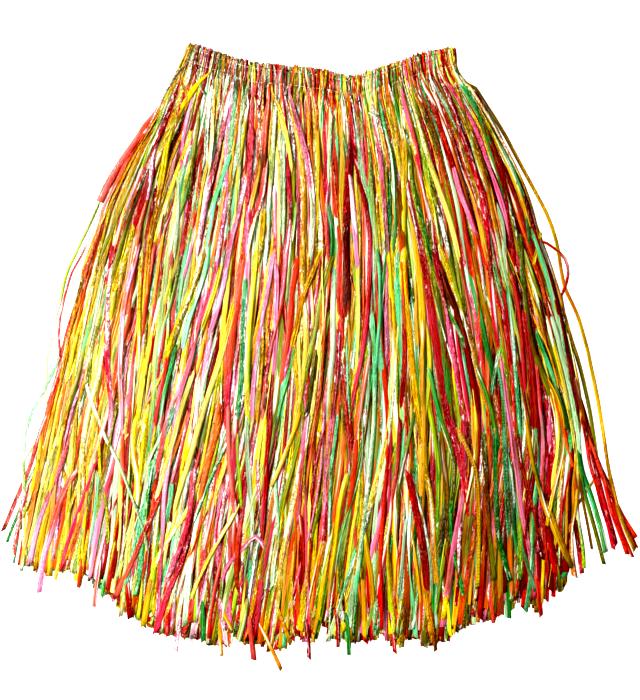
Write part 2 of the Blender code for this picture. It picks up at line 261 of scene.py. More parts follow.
def lay(piece, colour, along, xy, width, crest, band_z=None, band_up=None, thick=0.55, lift=0.0, flat=False,
        bloom=1.0, dark=1.0, sample=True, roll=10.0, tip=True, ladder=0.0, z_fixed=None, cols_n=5, turning=0.75,
        second=None, sink=None, rich=1.0, milk=1.0, tip_colour=None):
    """Lays one ribbon on the pile. along: mm from the top of the header at each station (it may fall, in the fold);
    xy: its middle; width, crest: its width and its folds' height there; band_z: its height inside the band."""
    k = len(along)
    travel = np.concatenate([[0], np.cumsum(np.linalg.norm(np.diff(xy, axis=0), axis=1))])
    t = np.gradient(xy, axis=0)
    t /= np.maximum(np.linalg.norm(t, axis=1), 1e-9)[:, None]
    if band_up is not None:
        t[: len(band_up)] = t[len(band_up) + 1]
    n = np.stack([-t[:, 1], t[:, 0]], axis=1)      # to the ribbon's left, looking down its length
    n = -n                                          # columns run left to right in the picture

    # height of the pile below it, every 2.5 mm
    fine = np.arange(0, travel[-1], 2.5)
    fxy = np.stack([np.interp(fine, travel, xy[:, c]) for c in (0, 1)], axis=1)
    fn = np.stack([np.interp(fine, travel, n[:, c]) for c in (0, 1)], axis=1)
    fw = np.interp(fine, travel, width)
    v = np.linspace(-0.45, 0.45, 5)
    spots = fxy[:, None] + fn[:, None] * (fw[:, None] * v)[..., None]
    if z_fixed is None:
        base = pile.under(spots)
        base = smooth(widest(base, 2), 3.0)
        z = np.interp(travel, fine, base)
    else:
        z = np.array(z_fixed, float) * np.ones(k)
        base = np.interp(fine, travel, z)
    z = z + lift
    if sink is not None:
        z = np.maximum(z - sink, 0.1)
    if band_z is not None:
        w = ramp(travel, travel[band_up is not None and len(band_up) or 0] + 22, travel[band_up is not None and len(band_up) or 0] + 75)
        z = band_z * (1 - w) + z * w

    # its crumpled section: heights of its columns over its flat underside, turning from one fold to another
    amp = crest * (1 + 0.12 * rng.standard_normal(k))
    v_col = np.linspace(-0.5, 0.5, cols_n)
    pick = rng.choice(len(SECTIONS), 3, p=SECTION_SHARE)
    keep = [np.interp(v_col, np.linspace(-0.5, 0.5, 7), SECTIONS[i][::int(rng.choice([-1, 1]))]) for i in pick]
    a1, a2 = (np.clip(wander(travel, 75, -0.8, 1.8), 0, 1)[:, None] for _ in (0, 1))
    h = (keep[0] * (1 - a1) + keep[1] * a1) * (1 - a2 * 0.6) + keep[2] * a2 * 0.6
    h = h * (1 + 0.10 * wander(travel, 30, -1, 1))[:, None]
    h[:, 0], h[:, -1] = wander(travel, 120, 0.0, 0.16), wander(travel, 120, 0.0, 0.16)
    shape = h / h.max(axis=1, keepdims=True)
    h = h * amp[:, None]
    if flat:
        h *= 0.5
    h = np.maximum(h, 0.04)
    cols = v_col[None] + np.zeros((k, 1))
    cols[:, 1:-1] += wander(travel, 80, -0.08, 0.08)[:, None]
    tilt = np.radians(wander(travel, 110, -roll, roll)) * (1 - (ramp(-travel, -40, -20) if band_z is not None else 0))
    offset = cols * width[:, None]
    rise = np.tan(tilt)[:, None] * (offset + np.where(tilt > 0, 0.5, -0.5)[:, None] * width[:, None]) * 0.6
    if flat:
        rise *= 0.2
    up = np.tile(np.array([0.0, 0.0, 1.0]), (k, 1))
    if band_up is not None:
        up[: len(band_up)] = band_up
    centre = np.concatenate([xy, z[:, None]], axis=1)
    n3 = np.concatenate([n, np.zeros((k, 1))], axis=1)
    p = centre[:, None] + n3[:, None] * offset[..., None] + up[:, None] * (h + rise)[..., None]

    if tip:                                         # the cut: slanted or jagged
        t3 = np.array([*t[-1], 0.0])
        cut = rng.uniform(-0.5, 0.5) * width[-1] * cols[-1] * 2 + rng.uniform(-0.3, 0.3, cols_n) * width[-1] * 0.4
        p[-1] += t3 * cut[:, None]

    # what lies on it rests on its upper side
    if sample:
        top = np.interp(fine, travel, z + thick * np.minimum(crest, 1.6))
        pile.add(spots, np.repeat(top[:, None], 5, axis=1) - 0.15 * np.abs(v)[None] * 2)

    # the film's dye runs from one colour into the next along it, and its folds show two sides
    first = linear(PALETTE[colour][1]) * rng.uniform(0.88, 1.10)
    rgb = np.tile(first, (k, cols_n, 1))
    if rng.random() < turning:
        other = linear(PALETTE[second or TURNS[colour][rng.integers(len(TURNS[colour]))]][1])
        w = wander(travel, 120, -1.3, 1.4)[:, None] + 3.0 * (v_col[None] - wander(travel, 120, -0.9, 0.9)[:, None]) * (
            wander(travel, 160, -0.6, 1.0)[:, None] > 0)
        w = np.clip(w, 0, 1)[..., None]
        rgb = rgb * (1 - w) + other * w
    if band_up is not None and rng.random() < 0.45:  # other colours of its hank show at the fold
        w = (1 - ramp(along, 9, 26))[:, None, None]
        rgb = rgb * (1 - w) + linear(PALETTE[FOLDS[rng.integers(len(FOLDS))]][1]) * w
    if tip_colour:                                  # what shows of a deep ribbon at the hem is as bright as the rest
        w = ramp(along, 0.84 * LENGTH, 0.95 * LENGTH)[:, None, None]
        rgb = rgb * (1 - w) + linear(PALETTE[tip_colour][1]) * w
    across_skirt = np.clip((xy[:, 0] + 300) / 620, 0, 1)
    # painted shade and light: ribbons of the deep courses darker by their shade factor, less so near the hem, near the
    # waist and at the left edge; the skirt darker towards the right, away from the key light; the header lighter on its
    # right and darker on its left; the upper left darker; the lower right corner and the hem tips lighter
    shade = dark + (1 - dark) * np.maximum(np.maximum(ramp(along, 0.92 * LENGTH, 0.98 * LENGTH), 0.75 * (1 - ramp(along, 60, 220))),
                                           0.7 * (1 - ramp(across_skirt, 0.05, 0.22)))
    in_band = np.clip(1.5 * (across_skirt - 0.40), -0.12, 0.45) * (1 - ramp(along, 20, 40))
    left_edge = 1 - ramp(across_skirt, 0.16, 0.34)
    left_top = left_edge * ramp(along, 40, 70) * (1 - ramp(along, 240, 330))
    corner = ramp(across_skirt, 0.84, 0.92) * ramp(along, 380, 460)
    shade = shade * (0.92 - 0.09 * across_skirt) * (1 + in_band) * (1 - 0.16 * left_top) * (1 + 0.3 * corner) * (
        1 + 0.18 * ramp(along, 0.92 * LENGTH, 0.985 * LENGTH))
    # painted shade: the power below darkens and richens colours towards the right, away from the key light, at the
    # upper left, at the left of the header and low in the left half, and lightens them elsewhere on the left; the
    # random factor is tone along the ribbon
    more = 0.22 * left_top + (1 - across_skirt) * (0.55 * (1 - ramp(along, 20, 40)) + 0.28 * (1 - left_edge) * ramp(along, 480, 560))
    rgb = rgb ** (1 + rich * (0.82 * across_skirt - 0.30) + more)[:, None, None] * (shade * wander(travel, 70, 0.84, 1.12))[:, None, None]
    # painted highlight: stretches of film mixed towards milky white as a pale sheen, more on the left towards the key
    # light, less at the upper left edge and low down
    painted_milky_sheen = np.clip(wander(travel, 85, -0.25, 0.75)[:, None] + v_col[None] * wander(travel, 110, -0.9, 0.9)[:, None], 0, 1)
    milk = milk * (0.44 - 0.36 * across_skirt) * (1 - 0.5 * left_edge * (1 - ramp(along, 300, 400))) * (1 - 0.4 * ramp(along, 480, 560))
    painted_milky_sheen = (painted_milky_sheen * PALETTE[colour][4] * milk[:, None])[..., None]
    rgb = rgb * (1 - painted_milky_sheen) + np.array([0.95, 0.90, 0.78]) * painted_milky_sheen
    # the films below show through it, more where it is drawn thin; more of them towards the right, where the darker mix
    # is also painted shade
    share = np.array([b[1] for b in BEHIND], float)
    below = [linear(BEHIND[i][0]) for i in rng.choice(len(BEHIND), 3, p=share / share.sum())]
    m1, m2 = (np.clip(wander(travel, 60, -0.8, 1.8), 0, 1)[:, None, None] for _ in (0, 1))
    behind = np.tile((below[0] * (1 - m1) + below[1] * m1) * (1 - m2) + below[2] * m2, (1, cols_n, 1))
    thin = wander(travel, 50, -0.25, 1.0)[:, None] + v_col[None] * wander(travel, 80, -1.0, 1.0)[:, None]
    thin = np.clip(thin + 0.34 * across_skirt[:, None] - 0.1, 0, 1) * (1 - 0.5 * PALETTE[colour][4] ** 2)
    # painted shade on the side of a fold that turns from the light
    painted_fold_shade = 0.5 + 3.5 * (rng.choice([-1, 1]) * v_col[None] - wander(travel, 95, -0.15, 0.85)[:, None])
    painted_fold_shade = (np.clip(painted_fold_shade, 0, 1) * rng.uniform(0.2, 0.9))[..., None]
    rgb = np.clip(rgb, 1e-4, 1)
    rgb = np.clip(rgb * (1 - painted_fold_shade) + rgb ** 1.35 * 0.62 * painted_fold_shade, 0, 0.97)
    # painted highlight (pale sheen): broad patches where the film lies flat to the light, and thin lines on its folds;
    # also a pale rim near one edge and more sheen at the header
    pearl = PALETTE[colour][4] * bloom
    half = wander(travel, 60, 0.14, 0.50)[:, None]
    broad = np.clip(1.25 - np.abs(v_col[None] - wander(travel, 90, -0.35, 0.35)[:, None]) / half, 0, 1)
    broad = broad * np.clip(wander(travel, 55, -1.1, 1.7) - 0.62 * across_skirt + 0.35 * (1 - ramp(along, 70, 200)), 0, 1)[:, None]
    rim = np.clip(wander(travel, 60, -1.1, 1.1), 0, 1)[:, None] * (np.abs(v_col - rng.choice([-0.36, 0.36])) < 0.06)[None]
    line = np.clip(wander(travel, 34, -0.9, 1.1), 0, 1)[:, None] * np.exp(
        -((v_col[None] - wander(travel, 70, -0.45, 0.45)[:, None]) / 0.10) ** 2)
    crush = np.clip(wander(travel, 110, -0.9, 1.4) + 0.4 * (pearl > 0.8) + 0.4 * (1 - ramp(along, 60, 200)), 0, 1)
    header = 1 - ramp(along, 20, 50)
    painted_sheen_mask = pearl * np.clip(broad + 0.5 * line * (1 - painted_fold_shade[..., 0]) + 0.4 * rim + 0.16 * header[:, None] * wander(travel, 12, -0.6, 1.4)[:, None], 0, 1.1)
    pieces.setdefault(piece, []).append({
        "p": p, "rgb": rgb, "behind": np.concatenate([behind, thin[..., None]], axis=-1), "bloom": painted_sheen_mask, "across": offset, "along": travel, "rid": rng.uniform(0, 1000),
        "shape": shape, "cols": cols_n, "crush": crush, "open": np.exp(-((travel[-1] - travel) / 30) ** 2),
        "header": header, "right": across_skirt,
        "crisp": rng.random() < 0.7, "ladder": ladder, "width": float(width[len(width) // 3:].mean()),
        "length": float(travel[-1])})
    return z


def fold_over(u, z_outer, z_inner, over):
    """Stations of a ribbon's fold over the elastic: places, heights and up directions, from inside to outside."""
    top, below = fan(u, 0.0), fan(u, 10.0 / LENGTH)
    down = (below - top) / np.linalg.norm(below - top)
    r = (z_outer - z_inner) / 2
    zc = (z_outer + z_inner) / 2
    places, heights, ups = [top + down * 7.0], [z_inner], [np.array([0, 0, math.copysign(1, -r)])]
    for a in np.radians((150, 115, 80, 45, 12)):
        d = abs(r) * (1 - math.sin(a)) - over * math.sin(a)
        places.append(top + down * d)
        heights.append(zc + r * math.cos(a))
        ups.append(np.array([*(-down * math.sin(a)), math.cos(a) * math.copysign(1, r)]))
    return np.array(places), np.array(heights), np.array(ups)


BAND = np.array([2.6, 4.0, 5.0, 6.0, 8.5, 12.0, 15.5, 18.0, 19.0, 20.2, 23.0, 28.0, 35.0, 44.0])


def field(seed, lock, tall, size):
    """A smooth drift across the fan, which gathers neighbouring ribbons into locks towards the hem."""
    r = np.random.default_rng(seed)
    waves = [(lock * r.uniform(0.5, 1.5), tall * r.uniform(0.3, 1.2), r.uniform(0, 6.28), r.uniform(0.4, 1)) for _ in range(7)]

    def f(u, s):
        out = 0
        for ku, ks, ph, a in waves:
            out = out + a * np.sin(6.283 * (ku * u + ks * s) + ph) / ku
        return out * size * ramp(s, 0.03, 0.55)
    return f


WAVES = field(21, 13, 1.0, 0.015)


def locks(u, s):
    """How the ribbons lie in locks; on the left, one lock sweeps out over another, which hangs straighter."""
    return (WAVES(u, s) + 0.022 * np.exp(-((u - 0.16) / 0.05) ** 2) * ramp(s, 0.40, 0.90)
            - 0.040 * np.exp(-((u - 0.29) / 0.075) ** 2) * ramp(s, 0.35, 0.85))


def strand(u0, u1, end, drift, stations, wild, veer=0.004):
    """Course of a ribbon below the band: places from 44 mm down to its end."""
    d = np.linspace(44.0, end * LENGTH, stations)[1:]
    s = d / LENGTH
    grow = ramp(s, 0.03, 0.26)
    u = u0 + (u1 - u0) * ramp(s, 0.02, 1.15) + drift(u0, s)
    for cycles, a in ((rng.uniform(0.5, 1.4), 0.0100), (rng.uniform(1.4, 3.0), 0.0034), (rng.uniform(3.5, 6.5), 0.0008)):
        u = u + wild * a * grow * np.sin(6.283 * cycles * s + rng.uniform(0, 6.28)) * rng.uniform(0.3, 1.5)
    u = u + rng.normal(0, veer) * ramp(s, 0.55, 1.15)
    u = 0.5 + np.clip(u - 0.5, -0.5, 0.5) + 0.25 * (u - 0.5 - np.clip(u - 0.5, -0.5, 0.5))
    return d, fan(u, s)


def ribbon(layer, u0, order, z_outer, z_inner, stations=46, spread=0.012, wild=1.0, drift=None, end=None, colour=None,
           width=None, crest=None, piece=None, mean_width=4.7, short=0.006, veer=0.004, **more):
    """One ribbon of a hank: fold over the elastic, down through the band, and out over the pile to the hem."""
    colour = colour or pick_colour(u0)
    width = width or float(np.clip(rng.lognormal(math.log(mean_width), 0.34), 1.9, 7.6))
    u1 = u0 + rng.normal(0, spread) + (rng.normal(0, 3 * spread) if rng.random() < 0.18 else 0)
    end = end or hem_end(float(np.clip(u1, 0, 1))) - abs(rng.normal(0, short))
    over = float(np.clip(rng.normal(0.3, 1.2), -1.5, 3.5))
    lean = rng.normal(0, 0.0085)
    band_xy = fan(u0 + lean * (1 - BAND / 44.0) + rng.normal(0, 0.002) * np.sin(BAND / 44.0 * 6.28), BAND / LENGTH)
    places, heights, ups = fold_over(u0 + lean, z_outer, z_inner, over)
    down, body_xy = strand(u0, u1, end, drift, stations, wild, veer)
    xy = np.concatenate([places, band_xy, body_xy])
    along = np.concatenate([np.zeros(len(places)), BAND, down])
    k = len(along)
    # pinched flat by the two rows of stitches, puffed between and above them
    pinch = 1.0 - 0.75 * np.exp(-((along - 5.0) / 1.3) ** 2) - 0.75 * np.exp(-((along - 19.0) / 1.5) ** 2)
    flute = 1.0 - ramp(along, 24, 60)
    narrow = rng.uniform(1.9, 3.6)
    w = narrow + (width - narrow) * ramp(along, 20, rng.uniform(38, 68))
    w[len(places):] *= 0.45 + 0.55 * pinch[len(places):]
    w[: len(places)] *= np.array([0.95, 0.75, 0.6, 0.5, 0.62, 0.8])
    w = w * (1 + 0.10 * wander(np.arange(k) * 10.0, 70, -1, 1)) * (1 - 0.03 * ramp(along, 0.6 * LENGTH, 1.02 * LENGTH))
    high = crest or rng.uniform(0.11, 0.30) * min(width, 5.5)
    c = (rng.uniform(1.2, 2.4) * pinch + 0.2) * flute + high * (1 - flute)
    for _ in range(rng.integers(0, 3)):             # a twist: narrow and high
        at, size = rng.uniform(120, 560), rng.uniform(8, 22)
        dip = np.exp(-((along - at) / size) ** 2)
        w = w * (1 - 0.5 * dip)
        c = c * (1 + 0.8 * dip)
    c[: len(places)] = rng.uniform(0.4, 0.9)
    near_cut = ramp(along, end * LENGTH - rng.uniform(15, 45), end * LENGTH)
    c, w = c * (1 - 0.55 * near_cut), w * (1 + 0.04 * near_cut)
    zb = np.concatenate([heights, z_outer + math.copysign(0.35, z_outer - z_inner) * (pinch[len(places):] - 0.6)])
    lay(piece or f"{layer}_{PALETTE[colour][0]}", colour, along, xy, w, c, band_z=zb, band_up=ups, **more)


def neighbours(us):
    """Colours for ribbons side by side, seldom the same hue twice running."""
    names = []
    for u in us:
        name = pick_colour(u)
        for _ in range(2):
            if names and PALETTE[name][0] == PALETTE[names[-1]][0]:
                name = pick_colour(u)
        names.append(name)
    return names


def shared_out(number):
    """Shares of the hem for a row of ribbons: between evenly set at the waist and evenly set at the hem."""
    t = np.clip((np.arange(number) + 0.5) / number + rng.normal(0, 0.25 / number, number), 0.002, 0.998)
    return np.clip(0.45 * np.interp(t, WAIST_SHARE, HEM_SHARE) + 0.55 * t, 0.002, 0.998)


def course(layer, number, z_outer, z_inner, seed, lock=9, tall=1.2, size=0.0065, deep=False, **more):
    """A row of neighbouring ribbons across the whole waist."""
    own = field(seed, lock, tall, size)

    def drift(u, s):
        return own(u, s) if layer == "back" else 0.9 * locks(u, s) + 0.55 * own(u, s)

    us = np.sort(shared_out(number))
    names = [(EDGE if u < 0.14 else DEPTHS)[rng.integers(len(DEPTHS))] for u in us] if deep else neighbours(us)
    for i in rng.permutation(number):
        ribbon(layer, us[i], i, z_outer, z_inner, drift=drift, colour=names[i], tip_colour=pick_colour(us[i]) if deep else None,
               **more)


def inner_course(layer, number, z, seed, end_mean):
    """Inner legs: from inside the band straight to the hem."""
    drift = field(seed, 9, 1.2, 0.0065)
    us = np.clip(shared_out(number), 0.03, 0.97)
    for i in rng.permutation(number):
        colour = pick_colour(us[i])
        end = hem_end(us[i]) - abs(rng.normal(0.012, 0.008))
        down, body = strand(us[i], us[i] + rng.normal(0, 0.012), end, drift, 26, 1.0)
        along = np.concatenate([[3.0, 12.0, 22.0, 32.0, 44.0], down])
        xy = np.concatenate([fan(us[i], along[:5] / LENGTH), body])
        width = float(np.clip(rng.lognormal(math.log(4.9), 0.3), 2.5, 9.0))
        w = 3.0 + (width - 3.0) * ramp(along, 20, 90)
        c = np.full(len(along), rng.uniform(0.4, 0.8))
        c[:3] = 0.3
        lay(f"inner_{layer}", colour, along, xy, w, c, band_z=np.full(len(along), z), dark=0.8, roll=4)


# ------------------------------------------------------------------ laying the skirt, from the surface up
course("back", 96, 0.25, 4.9, 1, stations=34, flat=True, roll=0, crest=0.5)
course("back", 92, 0.8, 4.6, 2, stations=34, roll=4, crest=0.6, dark=0.9)
course("back", 88, 1.5, 4.3, 3, stations=30, roll=4, crest=0.6, dark=0.85)
inner_course("back", 84, 4.7, 4, 0.985)
inner_course("front", 84, 6.2, 5, 0.985)
course("front", 88, 8.8, 6.0, 6, stations=36, dark=0.55, deep=True, bloom=0.2, milk=0.0)
course("front", 92, 9.2, 6.0, 7, stations=40, dark=0.62, deep=True, bloom=0.3, milk=0.0)
course("front", 96, 9.5, 6.0, 8, stations=46, dark=0.84, roll=14, mean_width=4.9, bloom=0.7, milk=0.5)
course("front", 88, 9.8, 6.0, 9, lock=13, size=0.010, stations=50, roll=16, spread=0.013, mean_width=5.0, cols_n=7, short=0.009, veer=0.014)
course("front", 82, 10.1, 6.0, 10, lock=15, size=0.012, stations=54, roll=18, spread=0.015, mean_width=5.0, cols_n=7, short=0.014, veer=0.018)
course("front", 68, 10.5, 6.0, 11, lock=12, size=0.012, stations=56, roll=18, spread=0.018, wild=1.2, mean_width=4.9, cols_n=7, short=0.018, veer=0.022)
course("front", 56, 10.9, 6.0, 12, lock=14, size=0.012, stations=56, roll=18, spread=0.021, wild=1.3, mean_width=4.7, cols_n=7, short=0.020, veer=0.026)
course("front", 42, 11.0, 6.0, 13, lock=12, size=0.016, stations=50, roll=14, spread=0.036, wild=1.7, mean_width=2.4, short=0.028, veer=0.035)


# ------------------------------------------------------------------ strands laid one by one
# colour, width (mm), options, then the pixels it shows at, from the waist down; tip: its last pixel is its cut end
STRANDS = [
    # upper body, left
    ("olive", 4.4, {"dark": 0.85, "bloom": 0.4}, (199, 112), (197, 130), (194, 150), (191, 178), (188, 205)),
    ("flame", 3.6, {"second": "red"}, (205, 100), (204, 120), (202, 145), (199, 173), (197, 198), (193, 226)),
    ("red", 8.4, {"second": "flame", "bloom": 0.2}, (152, 168), (146, 188), (139, 208), (132, 230)),
    ("lime", 6.0, {"turning": 0.0}, (167, 100), (161, 118), (154, 137), (147, 155)),
    ("pearl", 5.0, {"second": "mint"}, (152, 156), (145, 171), (138, 188), (131, 205), (124, 225)),
    ("pale_pink", 6.2, {"second": "hot_pink"}, (168, 108), (161, 124), (157, 140), (153, 160), (150, 181), (146, 200)),
    ("gold", 4.8, {"second": "lemon"}, (240, 96), (238, 115), (234, 140), (231, 163), (228, 185), (222, 208)),
    ("orange", 4.6, {"second": "gold"}, (227, 180), (223, 200), (220, 223), (216, 242), (212, 262)),
    ("pearl", 5.2, {}, (211, 96), (209, 110), (207, 132), (206, 158)),
    ("lemon", 4.4, {"second": "cream"}, (214, 96), (213, 115), (212, 140), (209, 166)),
    ("pearl", 5.0, {"second": "mint"}, (235, 98), (233, 117), (230, 140), (225, 162)),
    ("pale_pink", 4.2, {}, (190, 105), (187, 120), (183, 140), (181, 168)),
    ("pearl", 4.4, {"second": "mint"}, (178, 178), (178, 200), (177, 225), (174, 257)),
    ("hot_pink", 5.8, {"second": "pale_pink"}, (254, 84), (253, 100), (252, 123), (252, 145), (250, 167), (248, 190), (246, 208)),
    ("mustard", 5.4, {"second": "gold"}, (263, 90), (262, 110), (262, 138), (260, 163), (255, 190), (250, 212)),
    ("sage", 5.4, {"second": "mint"}, (275, 112), (274, 130), (273, 150), (272, 170), (271, 183)),
    ("pearl", 5.4, {"turning": 0.0}, (271, 184), (269, 203), (268, 223), (267, 245), (265, 262)),
    ("coral", 6.0, {"second": "flame"}, (266, 160), (264, 177), (262, 193), (257, 211), (249, 230)),
    ("pale_pink", 5.6, {"second": "pearl"}, (275, 186), (275, 210), (275, 238), (276, 265), (277, 290)),
    ("pale_pink", 4.4, {}, (283, 88), (286, 100), (290, 115), (293, 135), (294, 156)),
    ("lemon", 6.2, {"second": "gold"}, (291, 105), (295, 122), (299, 142), (302, 168), (303, 198), (303, 230), (302, 262), (303, 290), (306, 320), (306, 350), (303, 378), (299, 405), (294, 430)),
    ("lime", 4.0, {"second": "green"}, (296, 200), (294, 222), (291, 245)),
    ("lemon", 5.2, {"second": "cream"}, (256, 210), (252, 228), (248, 245), (246, 268)),
    ("lemon", 5.2, {"second": "mustard"}, (264, 208), (263, 228), (261, 248), (257, 268)),
    ("pale_pink", 6.2, {"second": "hot_pink"}, (246, 178), (242, 196), (237, 217), (232, 236), (228, 257), (224, 280), (218, 306), (210, 332)),
    # upper body, middle and right
    ("red", 8.0, {"second": "flame", "bloom": 0.2}, (352, 110), (352, 130), (351, 150), (349, 172), (347, 205), (346, 240), (347, 280), (347, 310)),
    ("red", 5.4, {"second": "hot_pink"}, (356, 160), (360, 180), (366, 205), (370, 232), (370, 262), (369, 290), (367, 318), (363, 350), (358, 376), (353, 400)),
    ("pale_pink", 5.6, {"second": "pearl"}, (349, 168), (352, 190), (354, 215), (356, 240), (358, 268)),
    ("coral", 5.4, {"second": "pale_pink"}, (372, 108), (376, 130), (380, 155), (383, 188), (386, 222), (388, 258)),
    ("cream", 6.0, {"second": "lemon"}, (384, 96), (389, 115), (394, 134), (398, 157), (401, 183), (401, 215), (397, 255)),
    ("green", 4.6, {"second": "mint"}, (381, 110), (385, 128), (391, 150), (394, 173), (395, 198), (396, 222), (394, 248)),
    ("lemon", 5.0, {"second": "cream"}, (366, 112), (370, 135), (374, 157), (377, 182), (378, 222), (381, 258)),
    ("lemon", 5.4, {"second": "mustard"}, (412, 140), (418, 165), (427, 193), (435, 222), (441, 250)),
    ("coral", 8.4, {"second": "hot_pink"}, (407, 178), (411, 198), (416, 220), (420, 240), (424, 262), (428, 284), (431, 306), (434, 326), (437, 346), (440, 368), (444, 393), (449, 418), (457, 446), (463, 468), (467, 495), (472, 522)),
    ("cream", 5.4, {"second": "lemon"}, (421, 132), (428, 157), (437, 182), (447, 210), (455, 238), (460, 262)),
    ("flame", 6.2, {"second": "red"}, (436, 112), (442, 134), (450, 158), (458, 182), (467, 207)),
    ("hot_pink", 6.2, {"second": "pale_pink"}, (454, 168), (460, 190), (467, 208), (475, 230)),
    ("pearl", 4.2, {"second": "sage"}, (331, 118), (330, 145), (329, 170)),
    ("green", 4.8, {"second": "sage"}, (327, 200), (331, 220), (333, 240), (332, 262)),
    ("mint", 3.4, {}, (361, 112), (362, 130), (362, 150)),
    ("green", 4.2, {"second": "mint"}, (323, 88), (322, 112), (321, 134)),
    # middle, left
    ("hot_pink", 6.2, {"second": "pale_pink"}, (139, 240), (134, 262), (128, 285), (124, 305), (122, 325), (121, 347), (120, 372), (121, 400), (121, 428)),
    ("pale_pink", 6.2, {"second": "hot_pink"}, (112, 245), (110, 268), (107, 300), (107, 333), (107, 363), (109, 385), (111, 408), (110, 430)),
    ("cream", 5.2, {"second": "lemon"}, (142, 250), (140, 275), (139, 303), (139, 333), (138, 360)),
    ("flame", 4.6, {"second": "coral"}, (154, 242), (152, 262), (149, 282), (146, 302), (144, 325)),
    ("lemon", 6.2, {"second": "cream"}, (161, 298), (157, 315), (152, 334), (147, 354), (143, 376), (140, 400), (137, 425)),
    ("hot_pink", 3.6, {}, (157, 315), (153, 338), (150, 360)),
    ("green", 3.2, {}, (108, 280), (105, 300), (102, 320)),
    ("red", 5.2, {"second": "flame"}, (168, 352), (165, 368), (162, 387), (158, 405), (155, 426)),
    ("red", 4.2, {}, (182, 340), (179, 358), (176, 374), (172, 392)),
    ("mint", 4.2, {"second": "green"}, (176, 345), (172, 362), (168, 377), (163, 398), (160, 420)),
    ("mint", 3.8, {"second": "sage"}, (181, 255), (176, 282), (170, 305), (163, 328), (158, 356)),
    ("pale_pink", 4.8, {"second": "coral"}, (192, 352), (187, 368), (180, 388), (172, 405), (165, 428), (160, 452), (156, 476)),
    ("orange", 5.2, {"second": "gold"}, (203, 340), (200, 357), (195, 375), (191, 395)),
    ("cream", 5.2, {"second": "lemon"}, (193, 372), (187, 390), (180, 412), (174, 437), (167, 460), (160, 484), (154, 505)),
    ("lemon", 6.2, {"second": "gold"}, (221, 262), (216, 285), (209, 308), (201, 332)),
    ("lemon", 8.0, {"second": "gold"}, (205, 248), (200, 264), (195, 279), (189, 295), (182, 313), (175, 331), (169, 348), (165, 360)),
    ("pearl", 4.0, {"second": "mint"}, (140, 278), (135, 293), (130, 307), (125, 320), (121, 333)),
    # middle
    ("flame", 8.0, {"second": "red", "bloom": 0.3}, (244, 252), (240, 275), (237, 300), (233, 325), (229, 356), (227, 383), (225, 402)),
    ("hot_pink", 7.0, {"second": "pale_pink"}, (230, 370), (228, 388), (227, 408), (227, 432)),
    ("pearl", 4.4, {"second": "mint"}, (223, 312), (219, 328), (214, 343), (209, 360), (204, 378), (199, 397)),
    ("cream", 6.2, {"second": "lemon"}, (234, 303), (229, 325), (223, 347), (217, 368), (211, 387), (205, 405), (199, 425), (193, 448), (187, 468), (179, 492), (171, 517)),
    ("mint", 6.2, {"second": "lime"}, (246, 275), (245, 295), (244, 318), (243, 340), (242, 367), (240, 392), (236, 420)),
    ("lime", 6.2, {"second": "lemon"}, (256, 252), (254, 275), (251, 303), (248, 335), (247, 367), (247, 398), (248, 428)),
    ("pale_pink", 5.2, {"second": "pearl"}, (273, 252), (270, 272), (267, 292), (262, 317), (258, 342), (255, 367), (253, 392), (252, 418)),
    ("mustard", 4.8, {"second": "olive"}, (263, 335), (262, 358), (260, 385), (257, 418)),
    ("red", 6.2, {"second": "hot_pink"}, (273, 352), (272, 375), (271, 400), (269, 430), (266, 462), (265, 495), (263, 522), (261, 545)),
    ("pale_pink", 6.2, {"second": "hot_pink"}, (276, 262), (277, 285), (276, 305), (276, 325), (275, 347), (274, 372)),
    ("coral", 6.2, {"second": "pale_pink"}, (267, 375), (265, 393), (263, 418)),
    ("red", 8.2, {"second": "flame", "bloom": 0.3}, (298, 258), (294, 283), (291, 310), (288, 333), (284, 358), (281, 385)),
    ("hot_pink", 4.2, {}, (294, 330), (291, 347), (287, 363), (284, 380)),
    ("gold", 5.2, {"second": "lemon"}, (324, 245), (318, 260), (312, 275), (306, 290), (300, 309), (297, 326), (292, 345)),
    ("cream", 4.4, {}, (299, 332), (299, 350), (300, 372), (301, 392)),
    ("olive", 6.2, {"second": "mustard", "dark": 0.8}, (317, 350), (314, 372), (310, 398), (306, 428)),
    ("lime", 5.2, {"second": "olive"}, (333, 252), (328, 268), (323, 285), (318, 308), (315, 327), (310, 350), (306, 370)),
    ("sage", 3.8, {"second": "green"}, (295, 345), (291, 365), (286, 385), (280, 408), (276, 430)),
    ("hot_pink", 4.6, {"second": "pale_pink"}, (339, 330), (338, 350), (337, 370), (335, 395), (331, 428)),
    ("pearl", 5.8, {"second": "mint"}, (335, 268), (334, 290), (333, 315), (333, 338), (332, 358), (329, 382), (327, 410)),
    ("mint", 4.8, {"second": "sage"}, (361, 272), (359, 295), (357, 318), (355, 348), (352, 372)),
    ("orange", 5.2, {"second": "flame"}, (369, 352), (366, 372), (362, 398), (357, 428)),
    ("mint", 4.4, {"second": "green"}, (377, 248), (380, 270), (380, 295), (380, 318), (378, 342), (376, 367), (373, 392)),
    ("pale_pink", 5.2, {"second": "pearl"}, (388, 262), (388, 290), (387, 320), (388, 350)),
    ("flame", 5.4, {"second": "red"}, (404, 325), (405, 348), (404, 372), (402, 402)),
    ("lemon", 7.0, {"second": "gold"}, (404, 245), (403, 270), (405, 296), (408, 320), (410, 342), (412, 362), (415, 385), (418, 412), (423, 442), (425, 470), (430, 494), (433, 522), (434, 555), (437, 588)),
    ("gold", 5.2, {"second": "mustard"}, (415, 275), (416, 298), (417, 322), (418, 345)),
    ("lemon", 5.2, {"second": "lime"}, (421, 300), (425, 322), (429, 347), (430, 368), (428, 393), (423, 425)),
    ("green", 5.0, {"second": "olive"}, (429, 368), (433, 387), (438, 407), (443, 425), (449, 442), (454, 462), (454, 480), (452, 504), (451, 528), (454, 551), (459, 573), (464, 596)),
